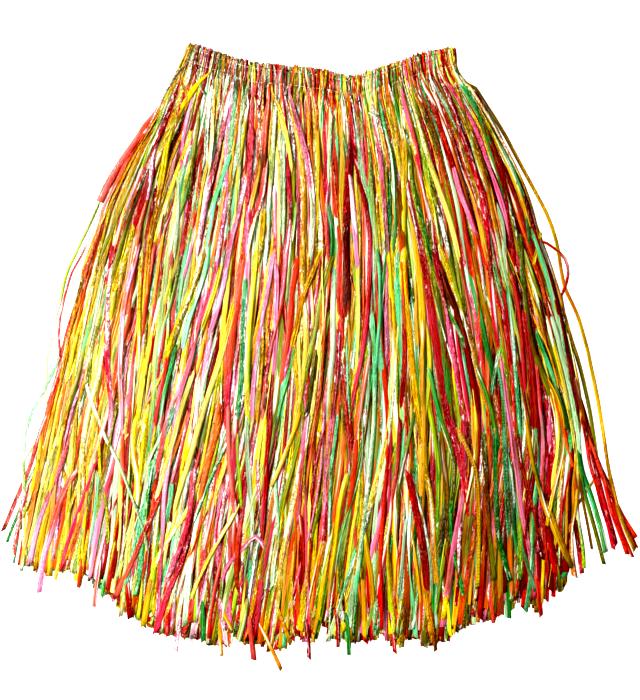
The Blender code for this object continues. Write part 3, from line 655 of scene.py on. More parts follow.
    ("red", 7.2, {"second": "hot_pink"}, (437, 255), (442, 272), (449, 293), (456, 310), (463, 328), (468, 350), (473, 380), (478, 412)),
    ("hot_pink", 6.4, {"second": "red"}, (451, 305), (454, 325), (457, 347), (461, 370), (465, 395), (469, 420)),
    ("mustard", 5.2, {"second": "lemon"}, (473, 248), (477, 268), (483, 296), (491, 322), (497, 345)),
    ("gold", 5.4, {"ladder": 0.35, "second": "lemon"}, (440, 245), (449, 272), (459, 300), (466, 322), (473, 347), (478, 374), (486, 400), (492, 420)),
    ("lime", 4.4, {"second": "green"}, (410, 150), (412, 180), (417, 207), (422, 230), (427, 250), (433, 272), (442, 292), (450, 312), (460, 333), (470, 354), (477, 370), (485, 390), (491, 408), (495, 430), (495, 470)),
    ("pale_pink", 5.2, {"second": "hot_pink"}, (501, 352), (504, 372), (507, 400), (511, 425), (514, 450), (518, 475), (521, 505), (526, 530), (531, 555)),
    ("red", 4.6, {"second": "hot_pink"}, (503, 285), (506, 308), (509, 333), (513, 365)),
    ("hot_pink", 5.2, {"second": "red"}, (512, 275), (517, 300), (521, 325), (523, 352), (526, 388)),
    ("red", 8.2, {"second": "deep_red", "bloom": 0.3}, (524, 310), (528, 335), (531, 362), (533, 390), (535, 425)),
    ("lime", 4.4, {"second": "olive"}, (524, 247), (529, 263), (535, 281), (541, 297)),
    # lower body, left
    ("gold", 6.2, {"second": "lemon"}, (136, 415), (133, 438), (134, 460), (137, 480), (135, 505)),
    ("lemon", 5.2, {"second": "cream"}, (148, 412), (144, 440), (141, 467), (138, 500)),
    ("green", 5.2, {"second": "lime"}, (152, 462), (149, 482), (147, 503), (145, 525)),
    ("flame", 5.2, {"second": "red"}, (122, 430), (122, 458), (122, 490)),
    ("flame", 3.8, {}, (200, 448), (197, 463), (193, 478), (190, 495)),
    ("orange", 8.2, {"second": "gold"}, (222, 405), (219, 424), (214, 443), (209, 462), (204, 482), (201, 500)),
    ("cream", 4.4, {"second": "lemon"}, (228, 455), (223, 472), (217, 490), (213, 510)),
    ("pale_pink", 6.2, {"second": "hot_pink"}, (230, 472), (226, 492), (222, 512), (218, 537), (217, 565)),
    ("pale_pink", 5.8, {"second": "coral"}, (228, 405), (228, 430), (229, 455), (231, 480), (233, 502), (236, 520)),
    ("lime", 4.4, {"second": "green"}, (237, 430), (237, 455), (239, 482), (241, 510)),
    ("pearl", 4.8, {"second": "mint"}, (247, 418), (247, 442), (248, 468), (250, 495), (252, 522), (251, 545)),
    ("pale_pink", 4.2, {"second": "hot_pink"}, (257, 452), (257, 472), (258, 490), (258, 508)),
    ("red", 6.2, {"second": "flame"}, (241, 522), (238, 545), (237, 568), (239, 597)),
    ("gold", 4.4, {"second": "orange"}, (274, 488), (271, 512), (267, 535), (263, 560), (260, 585)),
    ("lime", 5.2, {"second": "mint"}, (301, 430), (296, 452), (291, 472), (285, 494), (280, 518)),
    ("mint", 4.6, {"second": "pearl"}, (275, 475), (276, 498), (278, 522), (277, 542), (274, 562), (272, 588)),
    ("mint", 3.8, {"second": "pearl"}, (228, 440), (219, 459), (211, 477), (204, 494), (198, 510), (192, 526)),
    ("cream", 4.6, {"tip": True, "second": "gold"}, (300, 412), (294, 432), (287, 450), (280, 467), (271, 487)),
    # lower body, middle and right
    ("hot_pink", 5.2, {"second": "pale_pink"}, (308, 412), (305, 437), (302, 465), (300, 490), (298, 522)),
    ("red", 5.4, {"second": "flame"}, (324, 425), (319, 450), (314, 475), (310, 500)),
    ("hot_pink", 6.2, {"second": "pale_pink"}, (333, 412), (330, 438), (327, 465), (326, 495), (325, 522), (323, 548)),
    ("mint", 3.8, {"second": "green"}, (338, 412), (335, 440), (331, 468), (330, 500), (329, 535)),
    ("flame", 6.0, {"second": "orange"}, (356, 438), (355, 462), (352, 486), (348, 510)),
    ("orange", 5.4, {"second": "flame"}, (345, 435), (341, 465), (337, 495), (333, 528)),
    ("gold", 6.2, {"second": "lemon"}, (348, 474), (343, 492), (339, 515), (336, 542), (332, 570), (329, 597)),
    ("flame", 5.4, {"second": "red"}, (300, 515), (302, 535), (303, 560), (302, 585)),
    ("coral", 5.2, {"second": "red"}, (400, 418), (399, 445), (397, 470), (393, 496), (391, 520), (388, 540), (383, 564), (378, 590)),
    ("green", 4.2, {"second": "olive"}, (414, 415), (408, 445), (402, 470), (398, 495), (398, 515)),
    ("gold", 4.8, {"second": "mustard"}, (410, 455), (408, 482), (408, 510), (412, 540), (417, 572), (420, 598)),
    ("mustard", 6.2, {"second": "olive"}, (441, 432), (444, 460), (447, 490), (447, 515), (448, 545)),
    ("mustard", 6.2, {"second": "lemon"}, (364, 530), (367, 552), (371, 575), (373, 600)),
    ("pearl", 4.4, {"second": "mint"}, (406, 520), (404, 545), (402, 570), (399, 595)),
    ("pearl", 3.8, {"second": "green"}, (412, 472), (416, 494), (422, 514), (427, 537), (431, 562), (432, 596)),
    ("lemon", 4.8, {"ladder": 0.55, "second": "gold"}, (458, 428), (467, 448), (475, 467), (478, 490), (479, 520), (479, 550), (478, 588)),
    ("olive", 5.2, {"dark": 0.8, "second": "mustard"}, (484, 430), (486, 470), (488, 505), (491, 545), (494, 580)),
    ("green", 5.4, {"dark": 0.85, "second": "olive"}, (496, 430), (496, 468), (497, 503), (499, 537), (505, 562), (511, 582)),
    ("green", 5.2, {"second": "mint"}, (511, 465), (513, 495), (515, 530), (520, 565)),
    ("orange", 4.8, {"second": "flame"}, (516, 432), (521, 462), (528, 490), (536, 518), (544, 560)),
    ("deep_red", 7.4, {"tip": True, "second": "red"}, (546, 490), (549, 517), (552, 545), (557, 574)),
    ("mint", 3.8, {"second": "pearl"}, (506, 448), (512, 476), (517, 508), (521, 540), (528, 566), (536, 592)),
    ("gold", 4.8, {"second": "mustard"}, (527, 420), (532, 455), (539, 485), (547, 512), (558, 538), (569, 562)),
    ("mint", 4.2, {"loose": True, "tip": True, "second": "pearl"}, (500, 350), (497, 364), (494, 379), (491.5, 395)),
    # left edge
    ("gold", 3.6, {"second": "orange"}, (170, 92), (158, 114), (144, 137), (131, 160), (117, 188), (105, 212), (93, 240), (82, 270)),
    ("mustard", 3.4, {"second": "olive"}, (172, 96), (160, 124), (148, 146), (136, 172), (122, 205), (110, 232), (98, 262)),
    ("flame", 3.2, {"second": "orange"}, (174, 98), (165, 124), (153, 150), (141, 180), (128, 214), (117, 245), (104, 282)),
    ("pearl", 4.0, {"second": "mint"}, (105, 268), (98, 303), (91, 340), (85, 378), (79, 415)),
    ("lemon", 4.4, {"second": "gold"}, (97, 260), (90, 292), (82, 330), (75, 368), (68, 402), (60, 440)),
    ("orange", 3.4, {"second": "gold"}, (91, 266), (84, 292), (77, 322), (70, 356), (63, 390), (56, 425)),
    ("gold", 4.2, {"second": "orange"}, (84, 272), (76, 303), (69, 336), (62, 370), (54, 405), (46, 440)),
    ("coral", 8.0, {"turning": 0.0, "milk": 1.6, "rich": 0.0, "bloom": 0.3, "tip": True}, (146, 124), (137, 139), (126, 154), (116, 169), (107, 184), (99, 201)),
    ("lime", 3.0, {"second": "sage"}, (97, 206), (89, 224), (81, 240), (74, 255), (66.5, 271), (62.5, 286), (59.5, 300), (55, 315), (51.5, 330), (49.5, 345), (47, 360), (47, 380)),
    ("coral", 2.4, {}, (104, 200), (92, 228), (81, 254), (71, 272), (66, 288), (62, 304), (59, 318), (58, 340), (60, 365)),
    ("mint", 3.6, {"turning": 0.0, "milk": 1.8}, (60, 352), (53, 370), (43, 390), (34, 405), (28, 420), (24.5, 436), (23, 451), (22, 466), (24, 482)),
    # lower left corner
    ("lemon", 4.2, {"tip": True}, (44, 420), (40, 440), (37, 463), (32, 486), (26, 514), (24.6, 539), (24, 556)),
    ("mustard", 5.0, {"tip": True, "second": "gold"}, (52, 415), (46, 440), (40, 471), (32, 499), (26, 514), (20, 530)),
    ("coral", 4.5, {"tip": True, "second": "red"}, (48, 412), (42, 425), (37, 440), (31, 460), (25, 477), (20, 488), (1.8, 531)),
    ("pearl", 4.0, {"tip": True, "second": "lime"}, (22, 466), (23, 491), (23, 514), (23, 539), (23, 554), (20, 572)),
    ("green", 3.2, {"tip": True}, (24, 490), (20, 506), (12, 526), (5.6, 543)),
    ("coral", 4.9, {"tip": True}, (26, 490), (19, 517), (15.4, 536), (12.3, 554)),
    ("green", 3.0, {"tip": True}, (17, 535), (14, 553), (12, 564)),
    ("cream", 5.0, {"tip": True}, (50, 455), (44.6, 475), (34, 520), (27.7, 548)),
    ("sage", 3.6, {"tip": True}, (58, 440), (50, 470), (43, 500), (38, 530), (33, 562)),
    ("pale_pink", 5.9, {"tip": True, "second": "coral"}, (66, 444), (61.5, 460), (52, 486), (41.5, 514), (34, 539), (28.5, 565)),
    ("orange", 3.4, {"tip": True}, (46, 510), (40, 533), (35.4, 570)),
    ("pale_pink", 7.1, {"tip": True, "second": "coral"}, (77, 470), (70, 480), (60, 500), (52, 526), (43, 557), (37, 593)),
    ("lemon", 4.2, {"tip": True, "second": "gold"}, (83, 440), (80, 478), (69, 510), (61.5, 548), (54, 580)),
    ("hot_pink", 5.0, {"tip": True, "second": "red"}, (97, 458), (86, 491), (74, 523), (66, 548), (61, 571)),
    ("gold", 4.2, {"tip": True}, (92, 500), (87, 540), (78, 588)),
    ("mint", 5.0, {"tip": True, "second": "green"}, (98.5, 471), (94, 517), (89, 548), (88.5, 579)),
    ("lemon", 3.5, {}, (97, 430), (98.5, 449), (100, 478), (106, 509), (107.7, 548)),
    ("coral", 4.6, {"tip": True}, (100, 560), (98.5, 571), (95.4, 588), (93, 607.5)),
    # left half
    ("pearl", 3.8, {"turning": 0.0, "bloom": 1.3, "rich": 0.2, "milk": 1.6}, (86, 385), (90, 398), (98, 420), (106, 440), (116, 458), (124, 477), (131, 496), (139, 516), (145, 535), (147, 550)),
    ("lemon", 2.2, {}, (167, 362), (160, 378), (147, 404), (134, 427), (123, 441), (118, 455), (117, 470)),
    ("lemon", 6.9, {"second": "gold", "bloom": 0.4}, (212, 71), (198, 84), (187, 100), (175, 118), (168, 140), (163, 170), (157, 202), (152, 225), (148, 260), (145, 300)),
    ("lemon", 4.2, {"second": "gold", "bloom": 0.4}, (181, 64), (181, 76), (184, 86), (188, 97), (186, 112)),
    ("mint", 3.0, {"loose": True, "tip": True}, (197, 80), (200, 86), (203, 91), (206, 95)),
    ("green", 3.0, {"loose": True, "tip": True}, (184, 68), (179, 73), (175, 77), (172, 83)),
    ("pale_pink", 5.9, {"second": "hot_pink"}, (232, 85), (228, 102), (225, 120), (220, 142), (215, 165), (210, 185), (205, 205), (200, 235), (196, 258)),
    ("flame", 6.7, {"second": "red"}, (270, 84), (268, 108), (265, 130), (264, 147), (263, 168)),
    ("mint", 5.9, {"second": "green"}, (230, 155), (222, 178), (215, 198), (209, 235), (205, 270), (196, 298), (188, 322), (183, 345)),
    ("cream", 5.0, {"second": "lemon"}, (272, 92), (280, 112), (286, 135), (291, 165)),
    ("pale_pink", 5.5, {"second": "pearl"}, (289, 90), (294, 112), (300, 132), (307, 158), (311, 185), (313, 212), (312, 236), (310, 262)),
    ("pearl", 5.5, {"second": "mint"}, (283, 150), (283, 170), (283, 195), (283, 215), (282, 240)),
    ("flame", 5.6, {"tip": True, "second": "coral"}, (160, 495), (155, 507), (135, 555), (116, 596)),
    ("mint", 4.2, {"second": "pearl"}, (172, 480), (170, 500), (162, 530), (156, 550), (151, 572)),
    ("lemon", 5.0, {"second": "cream"}, (198, 480), (190, 505), (170, 537), (156, 562), (147.5, 592)),
    ("pale_pink", 5.9, {"second": "hot_pink"}, (193, 470), (191, 500), (185, 532), (172, 567), (166, 582)),
    ("hot_pink", 5.9, {"tip": True, "second": "pale_pink"}, (188, 535), (180, 565), (167, 595), (155, 634)),
    ("lemon", 4.7, {"tip": True, "second": "gold"}, (238, 506), (232, 518), (220, 538), (207, 562), (195, 588), (191, 600)),
    ("pale_pink", 5.0, {"turning": 0.0, "milk": 0.5, "bloom": 0.6}, (265, 550), (262, 543), (254, 537), (246, 545), (240, 552), (226, 569), (222, 580)),
    # hem tips, left half
    ("flame", 4.0, {"tip": True}, (82, 560), (80, 572), (77.5, 588)),
    ("green", 3.4, {"tip": True}, (104, 575), (101, 598)),
    ("gold", 4.2, {"tip": True}, (123, 592), (120, 617)),
    ("red", 7.1, {"tip": True, "second": "hot_pink"}, (127, 585), (129, 605), (130, 619)),
    ("gold", 7.1, {"tip": True, "second": "mustard"}, (152, 580), (147, 602), (143, 627)),
    ("flame", 4.5, {"tip": True}, (168, 610), (166, 636)),
    ("pale_pink", 4.2, {"tip": True, "second": "hot_pink"}, (180, 615), (177, 637), (175, 652)),
    ("green", 5.0, {"tip": True}, (202, 600), (202.5, 615), (203, 642)),
    ("gold", 4.6, {"tip": True}, (219, 620), (220, 640), (221, 657)),
    ("pale_pink", 5.9, {"tip": True, "second": "red"}, (220, 600), (222, 618), (226, 646)),
    ("mustard", 4.2, {"tip": True}, (222, 610), (232, 631)),
    ("sage", 5.0, {"tip": True}, (247, 600), (244, 618), (238, 642)),
    ("coral", 5.9, {"tip": True, "second": "red"}, (249, 618), (251, 637), (253.5, 661)),
    ("gold", 4.0, {"tip": True}, (258, 622), (264, 634), (281, 671)),
    ("mustard", 5.0, {"tip": True}, (277, 608), (283, 625), (291, 645)),
    ("red", 4.2, {"tip": True}, (306, 618), (308, 638), (309, 660)),
    # middle and right
    ("pearl", 3.0, {"loose": True, "tip": True}, (368.5, 112.5), (372, 114), (375, 116), (378.5, 116)),
    ("lemon", 5.9, {"second": "cream"}, (398, 82), (402, 110), (404, 140), (405, 170), (404, 200), (404, 235)),
    ("hot_pink", 5.9, {"second": "pale_pink"}, (445, 88), (452, 105), (460, 130), (470, 158), (480, 190), (485, 215), (488, 240), (492, 285), (496, 330), (498, 344)),
    ("pearl", 5.0, {"second": "mint"}, (497, 205), (501, 217), (505, 254), (510, 302), (514, 347), (518, 403), (521, 440)),
    ("olive", 6.7, {"second": "green"}, (521, 235), (521.7, 254), (525, 291), (534, 347), (549, 388)),
    ("pearl", 5.5, {"ladder": 0.7, "second": "mint"}, (500, 370), (503, 388), (505, 440), (507, 496), (509, 535)),
    ("green", 6.3, {}, (471, 275), (476, 296), (481, 318), (486, 341), (490, 360), (494, 382)),
    ("lemon", 5.9, {"second": "cream"}, (399, 305), (396, 340), (393, 385), (389, 428), (382, 462), (372, 498), (362, 535), (355, 572)),
    ("mint", 5.0, {"second": "pearl"}, (372, 315), (374, 345), (375, 385), (374, 425), (370, 470), (364, 525), (356, 590)),
    ("gold", 4.5, {"ladder": 0.7, "second": "lemon"}, (362, 468), (362, 485), (362, 505), (361, 522)),
    ("red", 8.0, {"second": "hot_pink"}, (408, 470), (413, 495), (418, 520), (422, 541), (425, 562), (428, 592)),
    ("red", 3.0, {"second": "flame", "rich": 0.2}, (533, 240), (543, 241), (555, 248), (565, 257), (569, 268), (567.5, 282), (562, 296)),
    ("lemon", 3.6, {"loose": True, "tip": True, "rich": 0.0}, (541, 232), (539.5, 241), (537, 252), (534, 264)),
    # right shoulder
    ("red", 7.0, {"second": "flame"}, (478, 100), (487, 130), (498, 162), (507, 193), (512, 227), (516, 262)),
    ("mustard", 4.0, {"second": "olive"}, (455, 84), (462, 106), (471, 130), (482, 163), (490, 200), (497, 240)),
    ("olive", 5.6, {"second": "green"}, (468, 92), (475, 104), (483, 124), (491, 147), (502, 182), (513, 220), (520, 255)),
    ("green", 4.6, {"second": "lime"}, (459, 76), (471, 98), (485, 121), (498, 143), (510, 165), (519, 187), (526, 211), (530, 245)),
    ("gold", 4.2, {"second": "lemon"}, (471, 90), (480, 104), (492, 124), (504, 145), (516, 168), (526, 191), (533, 213), (538, 237), (541, 256)),
    ("lemon", 3.8, {"second": "gold"}, (462, 80), (471, 96), (481, 113), (491, 131), (501, 151), (511, 171), (519, 190), (525, 209), (531, 230)),
    # lower right corner
    ("green", 5.0, {"second": "mint"}, (536, 330), (542, 346), (553, 375), (561.6, 403), (572, 436)),
    ("pearl", 5.5, {"second": "mint"}, (553, 318), (559, 340), (568, 379), (575, 412), (579, 442), (580, 470)),
    ("cream", 5.0, {"second": "lemon"}, (546, 315), (553, 340), (560.5, 368), (568, 401), (573.5, 432), (577, 462), (579, 490)),
    ("orange", 4.0, {"tip": True, "second": "flame"}, (556, 400), (562.7, 423), (569, 449), (574.6, 473), (576.7, 493), (580, 525), (584, 558)),
    ("gold", 5.9, {"tip": True, "second": "mustard"}, (577, 490), (575, 510), (572, 526), (572, 554), (575.6, 578)),
    ("mustard", 5.5, {"tip": True, "second": "gold"}, (545, 500), (553, 519), (561.6, 541), (572, 567)),
    ("hot_pink", 5.0, {"tip": True, "second": "red"}, (574, 515), (578, 536), (581, 558), (583, 574)),
    ("lemon", 4.0, {"tip": True}, (577, 505), (580, 525), (584, 550), (585, 569)),
    ("green", 5.5, {"tip": True}, (579, 449), (583, 471), (591, 493), (597, 512.5), (602.6, 532), (607, 553)),
    ("green", 4.2, {"tip": True, "second": "olive"}, (581, 470), (584, 488), (591, 512.5), (597, 534), (605, 565)),
    ("olive", 3.2, {"tip": True, "second": "green"}, (580, 475), (583, 497), (588.6, 525), (593, 550)),
    ("mustard", 4.2, {"second": "olive"}, (562, 305), (572, 340), (580, 364), (586, 388), (591, 412), (595, 438), (598, 460)),
    ("flame", 5.5, {"tip": True, "second": "hot_pink", "rich": 0.1, "milk": 1.5}, (574.5, 377), (581, 405), (586.5, 430), (594, 451), (600.5, 471), (607, 482), (615.6, 501), (626, 521), (637, 538)),
    ("coral", 4.2, {"tip": True, "second": "hot_pink"}, (582, 415), (586.5, 436), (592, 469), (597, 484), (602.6, 506), (609, 525.6), (614.5, 550)),
    ("hot_pink", 5.0, {"tip": True, "second": "pale_pink"}, (592, 450), (598, 474), (603, 493), (608, 512), (613, 530), (617, 546)),
    ("flame", 4.6, {"tip": True, "second": "coral"}, (596, 455), (605, 480), (613, 512), (622, 536), (628.5, 555)),
    ("red", 4.5, {"tip": True}, (612, 492), (620, 511), (629, 530), (637, 548)),
    ("flame", 3.6, {"tip": True, "second": "gold"}, (614, 505), (623, 532), (634, 558)),
    ("mustard", 4.0, {"tip": True, "second": "gold", "rich": 0.0}, (478, 92), (494, 116), (506, 135), (514, 150), (522, 165), (530, 180), (538, 195), (546, 210),
     (551.5, 223), (556, 237), (559, 250), (562, 270), (566, 288), (572, 301), (578, 314), (585, 337), (589, 352), (592, 367), (595, 381),
     (598.5, 398), (601.5, 416), (604, 431), (606, 445), (610, 471), (614.5, 491), (618, 506), (626, 528), (636, 551)),
    ("gold", 4.0, {"tip": True, "second": "lemon"}, (546.5, 377), (555, 392), (561.6, 412), (564, 434), (562.7, 456), (556, 484), (550, 512), (547.5, 526)),
    # hem tips, right half
    ("green", 4.2, {"tip": True}, (345, 612), (348, 632), (349, 656)),
    ("flame", 4.2, {"tip": True}, (336, 610), (338, 630), (338, 648)),
    ("coral", 4.2, {"tip": True}, (390, 610), (393, 631), (395, 654)),
    ("gold", 4.2, {"tip": True}, (431, 605), (434, 628), (436, 652)),
    ("lemon", 4.2, {"tip": True}, (446, 590), (449, 613), (451, 637)),
    ("flame", 4.2, {"tip": True}, (490, 585), (492, 604), (494, 624)),
    ("coral", 4.6, {"tip": True, "second": "red"}, (537, 575), (540, 597), (542, 617)),
    ("olive", 4.0, {"tip": True}, (556, 560), (559, 575), (561, 592)),
]
GU, GS = np.meshgrid(np.linspace(-0.04, 1.04, 270), np.linspace(0.0, 1.06, 265), indexing="ij")
GRID = fan(GU, GS)


def on_fan(xy):
    """The (u, s) of a place, to the nearest point of a fine grid."""
    i = np.argmin(((GRID - xy) ** 2).sum(-1))
    return GU.ravel()[i], GS.ravel()[i]


def through(points, step):
    """A smooth curve through places, a point every step."""
    p = np.array(points, float)
    at = np.concatenate([[0], np.cumsum(np.linalg.norm(np.diff(p, axis=0), axis=1))])
    t = np.linspace(0, at[-1], max(int(at[-1] / step), 4))
    slope = np.gradient(p, at, axis=0)
    i = np.clip(np.searchsorted(at, t, side="right") - 1, 0, len(p) - 2)
    w = ((t - at[i]) / (at[i + 1] - at[i]))[:, None]
    d = (at[i + 1] - at[i])[:, None]
    return ((2 * w**3 - 3 * w**2 + 1) * p[i] + (w**3 - 2 * w**2 + w) * d * slope[i]
            + (3 * w**2 - 2 * w**3) * p[i + 1] + (w**3 - w**2) * d * slope[i + 1])


def strand_by_hand(colour, width, options, *pixels):
    """A ribbon that shows along the given pixels; above them, and below if it has no tip there, it runs on under others."""
    options = dict(options)
    tip, loose = options.pop("tip", False), options.pop("loose", False)
    from_band = 0
    shown = through([place(*q) for q in pixels], 7.0)
    parts, sinks = [shown], [np.zeros(len(shown))]
    u, s = on_fan(shown[0])
    s_top = s
    if not loose and s > 0.04:
        inside = min(max(u, 0.08), 0.92) if s > 0.5 else min(max(u, 0.02), 0.98)
        n = int(s * 40) + 3
        above = fan(np.full(n, inside), np.linspace(0.030, s - 0.008, n))
        parts.insert(0, above + (shown[0] - fan(inside, s)) * np.linspace(0, 1, n)[:, None] ** 3)
        sinks.insert(0, np.full(n, 4.5) if s > 0.16 else np.linspace(1.6, 0.0, n))
        from_band = len(above)
    if not tip:
        u, s = on_fan(shown[-1])
        n = max(int((0.985 - s) * 24), 3)
        if s < 0.93:
            inside = min(max(u, 0.07), 0.93)
            below = fan(np.full(n, inside), np.linspace(s + 0.03, 0.97, n))
            parts.append(below + (shown[-1] - fan(inside, s)) * np.linspace(1, 0, n)[:, None] ** 3)
            sinks.append(3.5 * np.ones(n))
    xy, sink = np.concatenate(parts), np.concatenate(sinks)
    keep = np.concatenate([[True], np.linalg.norm(np.diff(xy, axis=0), axis=1) > 1.0])
    xy, sink = xy[keep], sink[keep]
    along = 25 + np.concatenate([[0], np.cumsum(np.linalg.norm(np.diff(xy, axis=0), axis=1))])
    k = len(xy)
    sink = smooth(sink, 0.8)
    w = width * (1 + 0.10 * wander(along, 60, -1, 1)) * (1 - 0.35 * np.clip(sink / 3, 0, 1))
    if from_band or (s_top < 0.06 and not loose):
        w = np.minimum(w, 1.8 + max(width - 1.8, 0) * ramp(along, 27, 62) + 0.3)
    c = np.full(k, rng.uniform(0.18, 0.32) * min(width, 5.5))
    lay(f"front_{PALETTE[colour][0]}", colour, along, xy, w, c, sink=sink, lift=0.1, cols_n=7, roll=16, **{"rich": 0.55, **options})


for row in STRANDS:
    strand_by_hand(*row)


# ------------------------------------------------------------------ meshes
def blurred(a, sigma):
    for _ in (0, 1):
        r = int(3 * sigma)
        k = np.exp(-0.5 * (np.arange(-r, r + 1) / sigma) ** 2)
        k /= k.sum()
        a = sum(w * np.roll(a, i - r, axis=0) for i, w in enumerate(k)).T
    return a


surface = blurred(pile.h, 3.5)


def shaded(r):
    """Film's colour at each point with painted shade: richer and darker where it lies deep in the pile, more so towards
    the right and less near its cut end, and in its own grooves.
    """
    i, j = pile.cells(r["p"][..., :2])
    deep = np.clip(surface[i, j] - r["p"][..., 2] - 0.2, 0, 4) * 0.6 * (1 - 0.85 * r["open"])[:, None]
    # painted shade in the ribbon's own grooves, a little along its edges, less in the header
    groove = np.where(np.abs(r["across"]) < 0.44 * r["width"], (1 - r["shape"]) ** 2.2 * 1.9, 0.35)
    groove = groove * (1 - 0.55 * r["header"])[:, None]
    deep = (deep * (0.40 + 0.25 * ramp(r["right"], 0.04, 0.3) + 1.05 * r["right"])[:, None] + groove)[..., None]
    rgb = np.clip(r["rgb"], 1e-4, 1)
    warm_shade = np.exp(-np.array([0.22, 0.42, 0.50]) * deep)          # painted shade turns warm, as light that comes through the films does
    return (rgb ** (1 + 0.22 * np.minimum(deep, 3)) * warm_shade).reshape(-1, 3)


def build(name, ribbons):
    """One mesh of many closed ribbons, each with its own column on the bake map."""
    verts, faces, uv, rgb, strip, bloom, ladder, crush, crisp, column, behind = ([] for _ in range(11))
    caps, cap_uv, cap_size = [], [], []
    count, columns = 0, len(ribbons)
    longest = max(r["length"] for r in ribbons)
    for number, r in enumerate(ribbons):
        p, n = r["p"], r["cols"]
        k = len(p)
        verts.append(p.reshape(-1, 3))
        idx = count + np.arange(k * n).reshape(k, n)
        top = np.stack([idx[:-1, :-1], idx[:-1, 1:], idx[1:, 1:], idx[1:, :-1]], axis=-1).reshape(-1, 4)
        under = np.stack([idx[:-1, -1], idx[:-1, 0], idx[1:, 0], idx[1:, -1]], axis=-1)
        faces.append(np.concatenate([top, under]))
        count += k * n
        # bake map: a column for each ribbon, its top and its underside side by side
        x0, x1 = (number + 0.08) / columns, (number + 0.92) / columns
        v = 0.01 + 0.98 * r["along"] / longest
        top_u = x0 + (x1 - x0) * np.linspace(0, 0.8, n)
        grid = np.stack(np.meshgrid(top_u, v), axis=-1)
        uv.append(np.concatenate([
            np.stack([grid[:-1, :-1], grid[:-1, 1:], grid[1:, 1:], grid[1:, :-1]], axis=2).reshape(-1, 4, 2),
            np.stack([np.stack([np.full(k - 1, e), w], -1) for e, w in
                      ((top_u[-1], v[:-1]), (x1, v[:-1]), (x1, v[1:]), (top_u[-1], v[1:]))], axis=1)]))
        for ring, loop, y in ((idx[0], idx[0][::-1], 0.0075), (idx[-1], idx[-1], 0.9925)):
            w = np.linspace(x0, x1, n)
            pts = np.stack([w, y + 0.002 * np.sin(np.linspace(0, math.pi, n))], axis=-1)
            caps.append(loop)
            cap_uv.append(pts if y > 0.5 else pts[::-1])
            cap_size.append(n)
        rgb.append(shaded(r))
        behind.append(r["behind"].reshape(-1, 4))
        strip.append(np.stack([r["across"], np.repeat(r["along"][:, None], n, 1), np.full((k, n), r["rid"])], axis=-1).reshape(-1, 3))
        bloom.append(r["bloom"].ravel())
        ladder.append(np.full(k * n, r["ladder"]))
        crush.append(np.repeat(r["crush"], n))
        crisp.append(np.full(k * n, r["crisp"]))
        column.append(np.tile(np.where(np.arange(n) == 0, 0, np.where(np.arange(n) == n - 1, 9, np.arange(n))), k))
    verts = np.concatenate(verts) * MM
    verts[:, 2] = np.maximum(verts[:, 2], 0.00003)
    quads, uv = np.concatenate(faces), np.concatenate(uv)
    mesh = bpy.data.meshes.new(name)
    mesh.vertices.add(len(verts))
    mesh.vertices.foreach_set("co", verts.ravel())
    loops = np.concatenate([quads.ravel()] + caps)
    mesh.loops.add(len(loops))
    mesh.loops.foreach_set("vertex_index", loops.astype(np.int32))
    sizes = np.concatenate([np.full(len(quads), 4), cap_size])
    starts = np.concatenate([[0], np.cumsum(sizes)[:-1]])
    mesh.polygons.add(len(sizes))
    mesh.polygons.foreach_set("loop_start", starts.astype(np.int32))
    mesh.update(calc_edges=True)
    mesh.validate()
    layer = mesh.uv_layers.new(name="OFBake")
    layer.data.foreach_set("uv", np.concatenate([uv.reshape(-1, 2)] + cap_uv).ravel().astype(np.float32))
    rgba = np.concatenate([np.concatenate(rgb), np.ones((len(verts), 1))], axis=1)
    mesh.attributes.new("tint", "FLOAT_COLOR", "POINT").data.foreach_set("color", rgba.ravel().astype(np.float32))
    mesh.attributes.new("behind", "FLOAT_COLOR", "POINT").data.foreach_set("color", np.concatenate(behind).ravel().astype(np.float32))
    mesh.attributes.new("strip", "FLOAT_VECTOR", "POINT").data.foreach_set("vector", np.concatenate(strip).ravel().astype(np.float32))
    for key, rows in (("bloom", bloom), ("ladder", ladder), ("crush", crush)):
        mesh.attributes.new(key, "FLOAT", "POINT").data.foreach_set("value", np.concatenate(rows).astype(np.float32))
    edges = np.zeros(len(mesh.edges) * 2, np.int32)
    mesh.edges.foreach_get("vertices", edges)
    edges = edges.reshape(-1, 2)
    col = np.concatenate(column)[edges]
    crisp = np.concatenate(crisp)[edges[:, 0]].astype(bool)
    same = col[:, 0] == col[:, 1]
    sharp = same & ((col[:, 0] == 0) | (col[:, 0] == 9) | (crisp & (col[:, 0] % 2 == 0)))
    mesh.attributes.new("sharp_edge", "BOOLEAN", "EDGE").data.foreach_set("value", sharp)
    mesh.polygons.foreach_set("use_smooth", np.ones(len(mesh.polygons), bool))
    obj = bpy.data.objects.new(name, mesh)
    bpy.context.scene.collection.objects.link(obj)
    return obj


